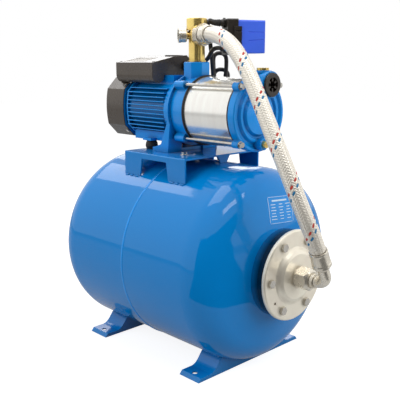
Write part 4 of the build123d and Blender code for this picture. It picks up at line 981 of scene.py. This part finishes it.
class PUMPSET_OT_gauge_face(bpy.types.Operator):
    """Scale and numbers on the pressure gauge's dial"""

    bl_idname = "pumpset.gauge_face"
    bl_label = "Gauge face"

    def execute(self, context):
        port = Matrix.Rotation(math.radians(GAUGE_TURN), 4, "Z")
        face = Matrix.Translation(FITTING) @ port @ Matrix.Translation((GAUGE_DIAL, 0, 0))
        marks = Shape()
        lift = Vector((0.00006, 0, 0))
        for index in range(SCALE_DIVISIONS + 1):
            turn = math.radians(SCALE_START - SCALE_SWEEP * index / SCALE_DIVISIONS)
            inner, half = (0.0086, 0.00020) if index % 5 == 0 else (0.0093, 0.00010)
            along = Vector((0, math.cos(turn), math.sin(turn)))
            side = Vector((0, -math.sin(turn), math.cos(turn))) * half
            corners = [along * inner - side, along * SCALE_RADIUS - side, along * SCALE_RADIUS + side,
                       along * inner + side]
            marks.rings([corners, [corner + lift for corner in corners]], face)
        for number in range(0, SCALE_TOP + 1, 2):
            self.numeral(marks, face, number)
        marks.piece("gauge_scale", "white_dial", "gauge_ink", sharp=30)
        return {"FINISHED"}

    @staticmethod
    def numeral(marks, face, number):
        """Adds one upright number to the dial's marks."""
        curve = bpy.data.curves.new("numeral", "FONT")
        curve.body = str(number)
        curve.size = 0.0030
        curve.align_x, curve.align_y = "CENTER", "CENTER"
        curve.extrude = 0.00003
        text = bpy.data.objects.new("numeral", curve)
        bpy.context.scene.collection.objects.link(text)
        mesh = bpy.data.meshes.new_from_object(text.evaluated_get(bpy.context.evaluated_depsgraph_get()))
        turn = math.radians(SCALE_START - SCALE_SWEEP * number / SCALE_TOP)
        place = Vector((0.00004, NUMERAL_RADIUS * math.cos(turn), NUMERAL_RADIUS * math.sin(turn)))
        marks.add([place + Vector((v.co.z, v.co.x, v.co.y)) for v in mesh.vertices],
                  [tuple(p.vertices) for p in mesh.polygons], face)
        bpy.data.objects.remove(text)
        bpy.data.meshes.remove(mesh)
        bpy.data.curves.remove(curve)


class PUMPSET_OT_threads(bpy.types.Operator):
    """Thread in the fitting's outlet port"""

    bl_idname = "pumpset.threads"
    bl_label = "Outlet thread"

    def execute(self, context):
        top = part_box("five_way_fitting")[1].z - THREAD_DROP
        per_turn, run_out = 48, 12
        steps = THREAD_LENGTH / PIPE_PITCH * per_turn
        loops = []
        for step in range(int(steps) + 1):
            turn = 2 * math.pi * step / per_turn
            z = top - PIPE_PITCH * step / per_turn
            fade = min(1.0, step / run_out, (steps - step) / run_out)
            out = Vector((math.cos(turn), math.sin(turn), 0))
            crest = THREAD_RADIUS - THREAD_RISE * max(fade, 0.02)
            root = THREAD_RADIUS + 0.0002
            section = ((root, -0.46), (crest, -0.10), (crest, 0.10), (root, 0.46))
            loops.append([Vector((FITTING.x, FITTING.y, z + PIPE_PITCH * share)) + out * radius
                          for radius, share in section])
        Shape().rings(loops).piece("outlet_thread", "brass", sharp=40)
        return {"FINISHED"}


class PUMPSET_OT_coil_tie(bpy.types.Operator):
    """Strap that holds the put-away lead's coil together"""

    bl_idname = "pumpset.coil_tie"
    bl_label = "Coil tie"

    def execute(self, context):
        low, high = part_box("mains_coil")
        out = heading(COIL_TIE_TURN, 0.0)
        side = Vector((0, 0, 1)).cross(out)
        turns_radius = 0.0500
        centre = Vector((COIL_CENTRE.x, COIL_CENTRE.y, (low.z + high.z) / 2)) + out * turns_radius
        wide, tall, wall, half = 0.0182, high.z - low.z - 0.0002, 0.0008, 0.005
        outline = rounded_rectangle(wide, tall, CABLE_RADIUS, 7)
        inner = rounded_rectangle(wide - 2 * wall, tall - 2 * wall, CABLE_RADIUS - wall, 7)

        def loop(points, along):
            return [centre + out * x + Vector((0, 0, z)) + side * along for x, z in points]

        strap = Shape().rings([loop(outline, -half), loop(outline, half), loop(inner, half),
                               loop(inner, -half)], joined=True)
        strap.piece("coil_tie", "rubber", sharp=50, bevel=0.0002)
        return {"FINISHED"}


MAKERS = [PUMPSET_OT_stage, PUMPSET_OT_finishes, PUMPSET_OT_hose, PUMPSET_OT_leads, PUMPSET_OT_welds,
          PUMPSET_OT_plates, PUMPSET_OT_gauge_face, PUMPSET_OT_threads, PUMPSET_OT_coil_tie]


class PUMPSET_PT_panel(bpy.types.Panel):
    """Lists the makers of the pump set"""

    bl_idname = "PUMPSET_PT_panel"
    bl_label = "Pump set"
    bl_space_type = "VIEW_3D"
    bl_region_type = "UI"
    bl_category = "Pump set"

    def draw(self, context):
        for maker in MAKERS:
            self.layout.operator(maker.bl_idname)
        for group in settings():
            for key in group.__annotations__:
                self.layout.prop(group, key)


CLASSES = [PumpSetColours, PumpSetSizes, *MAKERS, PUMPSET_PT_panel]


def register():
    for kind in CLASSES:
        bpy.utils.register_class(kind)
    bpy.types.Scene.pump_set_colours = PointerProperty(type=PumpSetColours)
    bpy.types.Scene.pump_set_sizes = PointerProperty(type=PumpSetSizes)


def unregister():
    del bpy.types.Scene.pump_set_sizes
    del bpy.types.Scene.pump_set_colours
    for kind in reversed(CLASSES):
        bpy.utils.unregister_class(kind)


def main():
    register()
    for maker in MAKERS:
        group, action = maker.bl_idname.split(".")
        if getattr(getattr(bpy.ops, group), action)() != {"FINISHED"}:
            raise RuntimeError(maker.bl_idname + " did not finish")


if __name__ == "__main__":
    main()
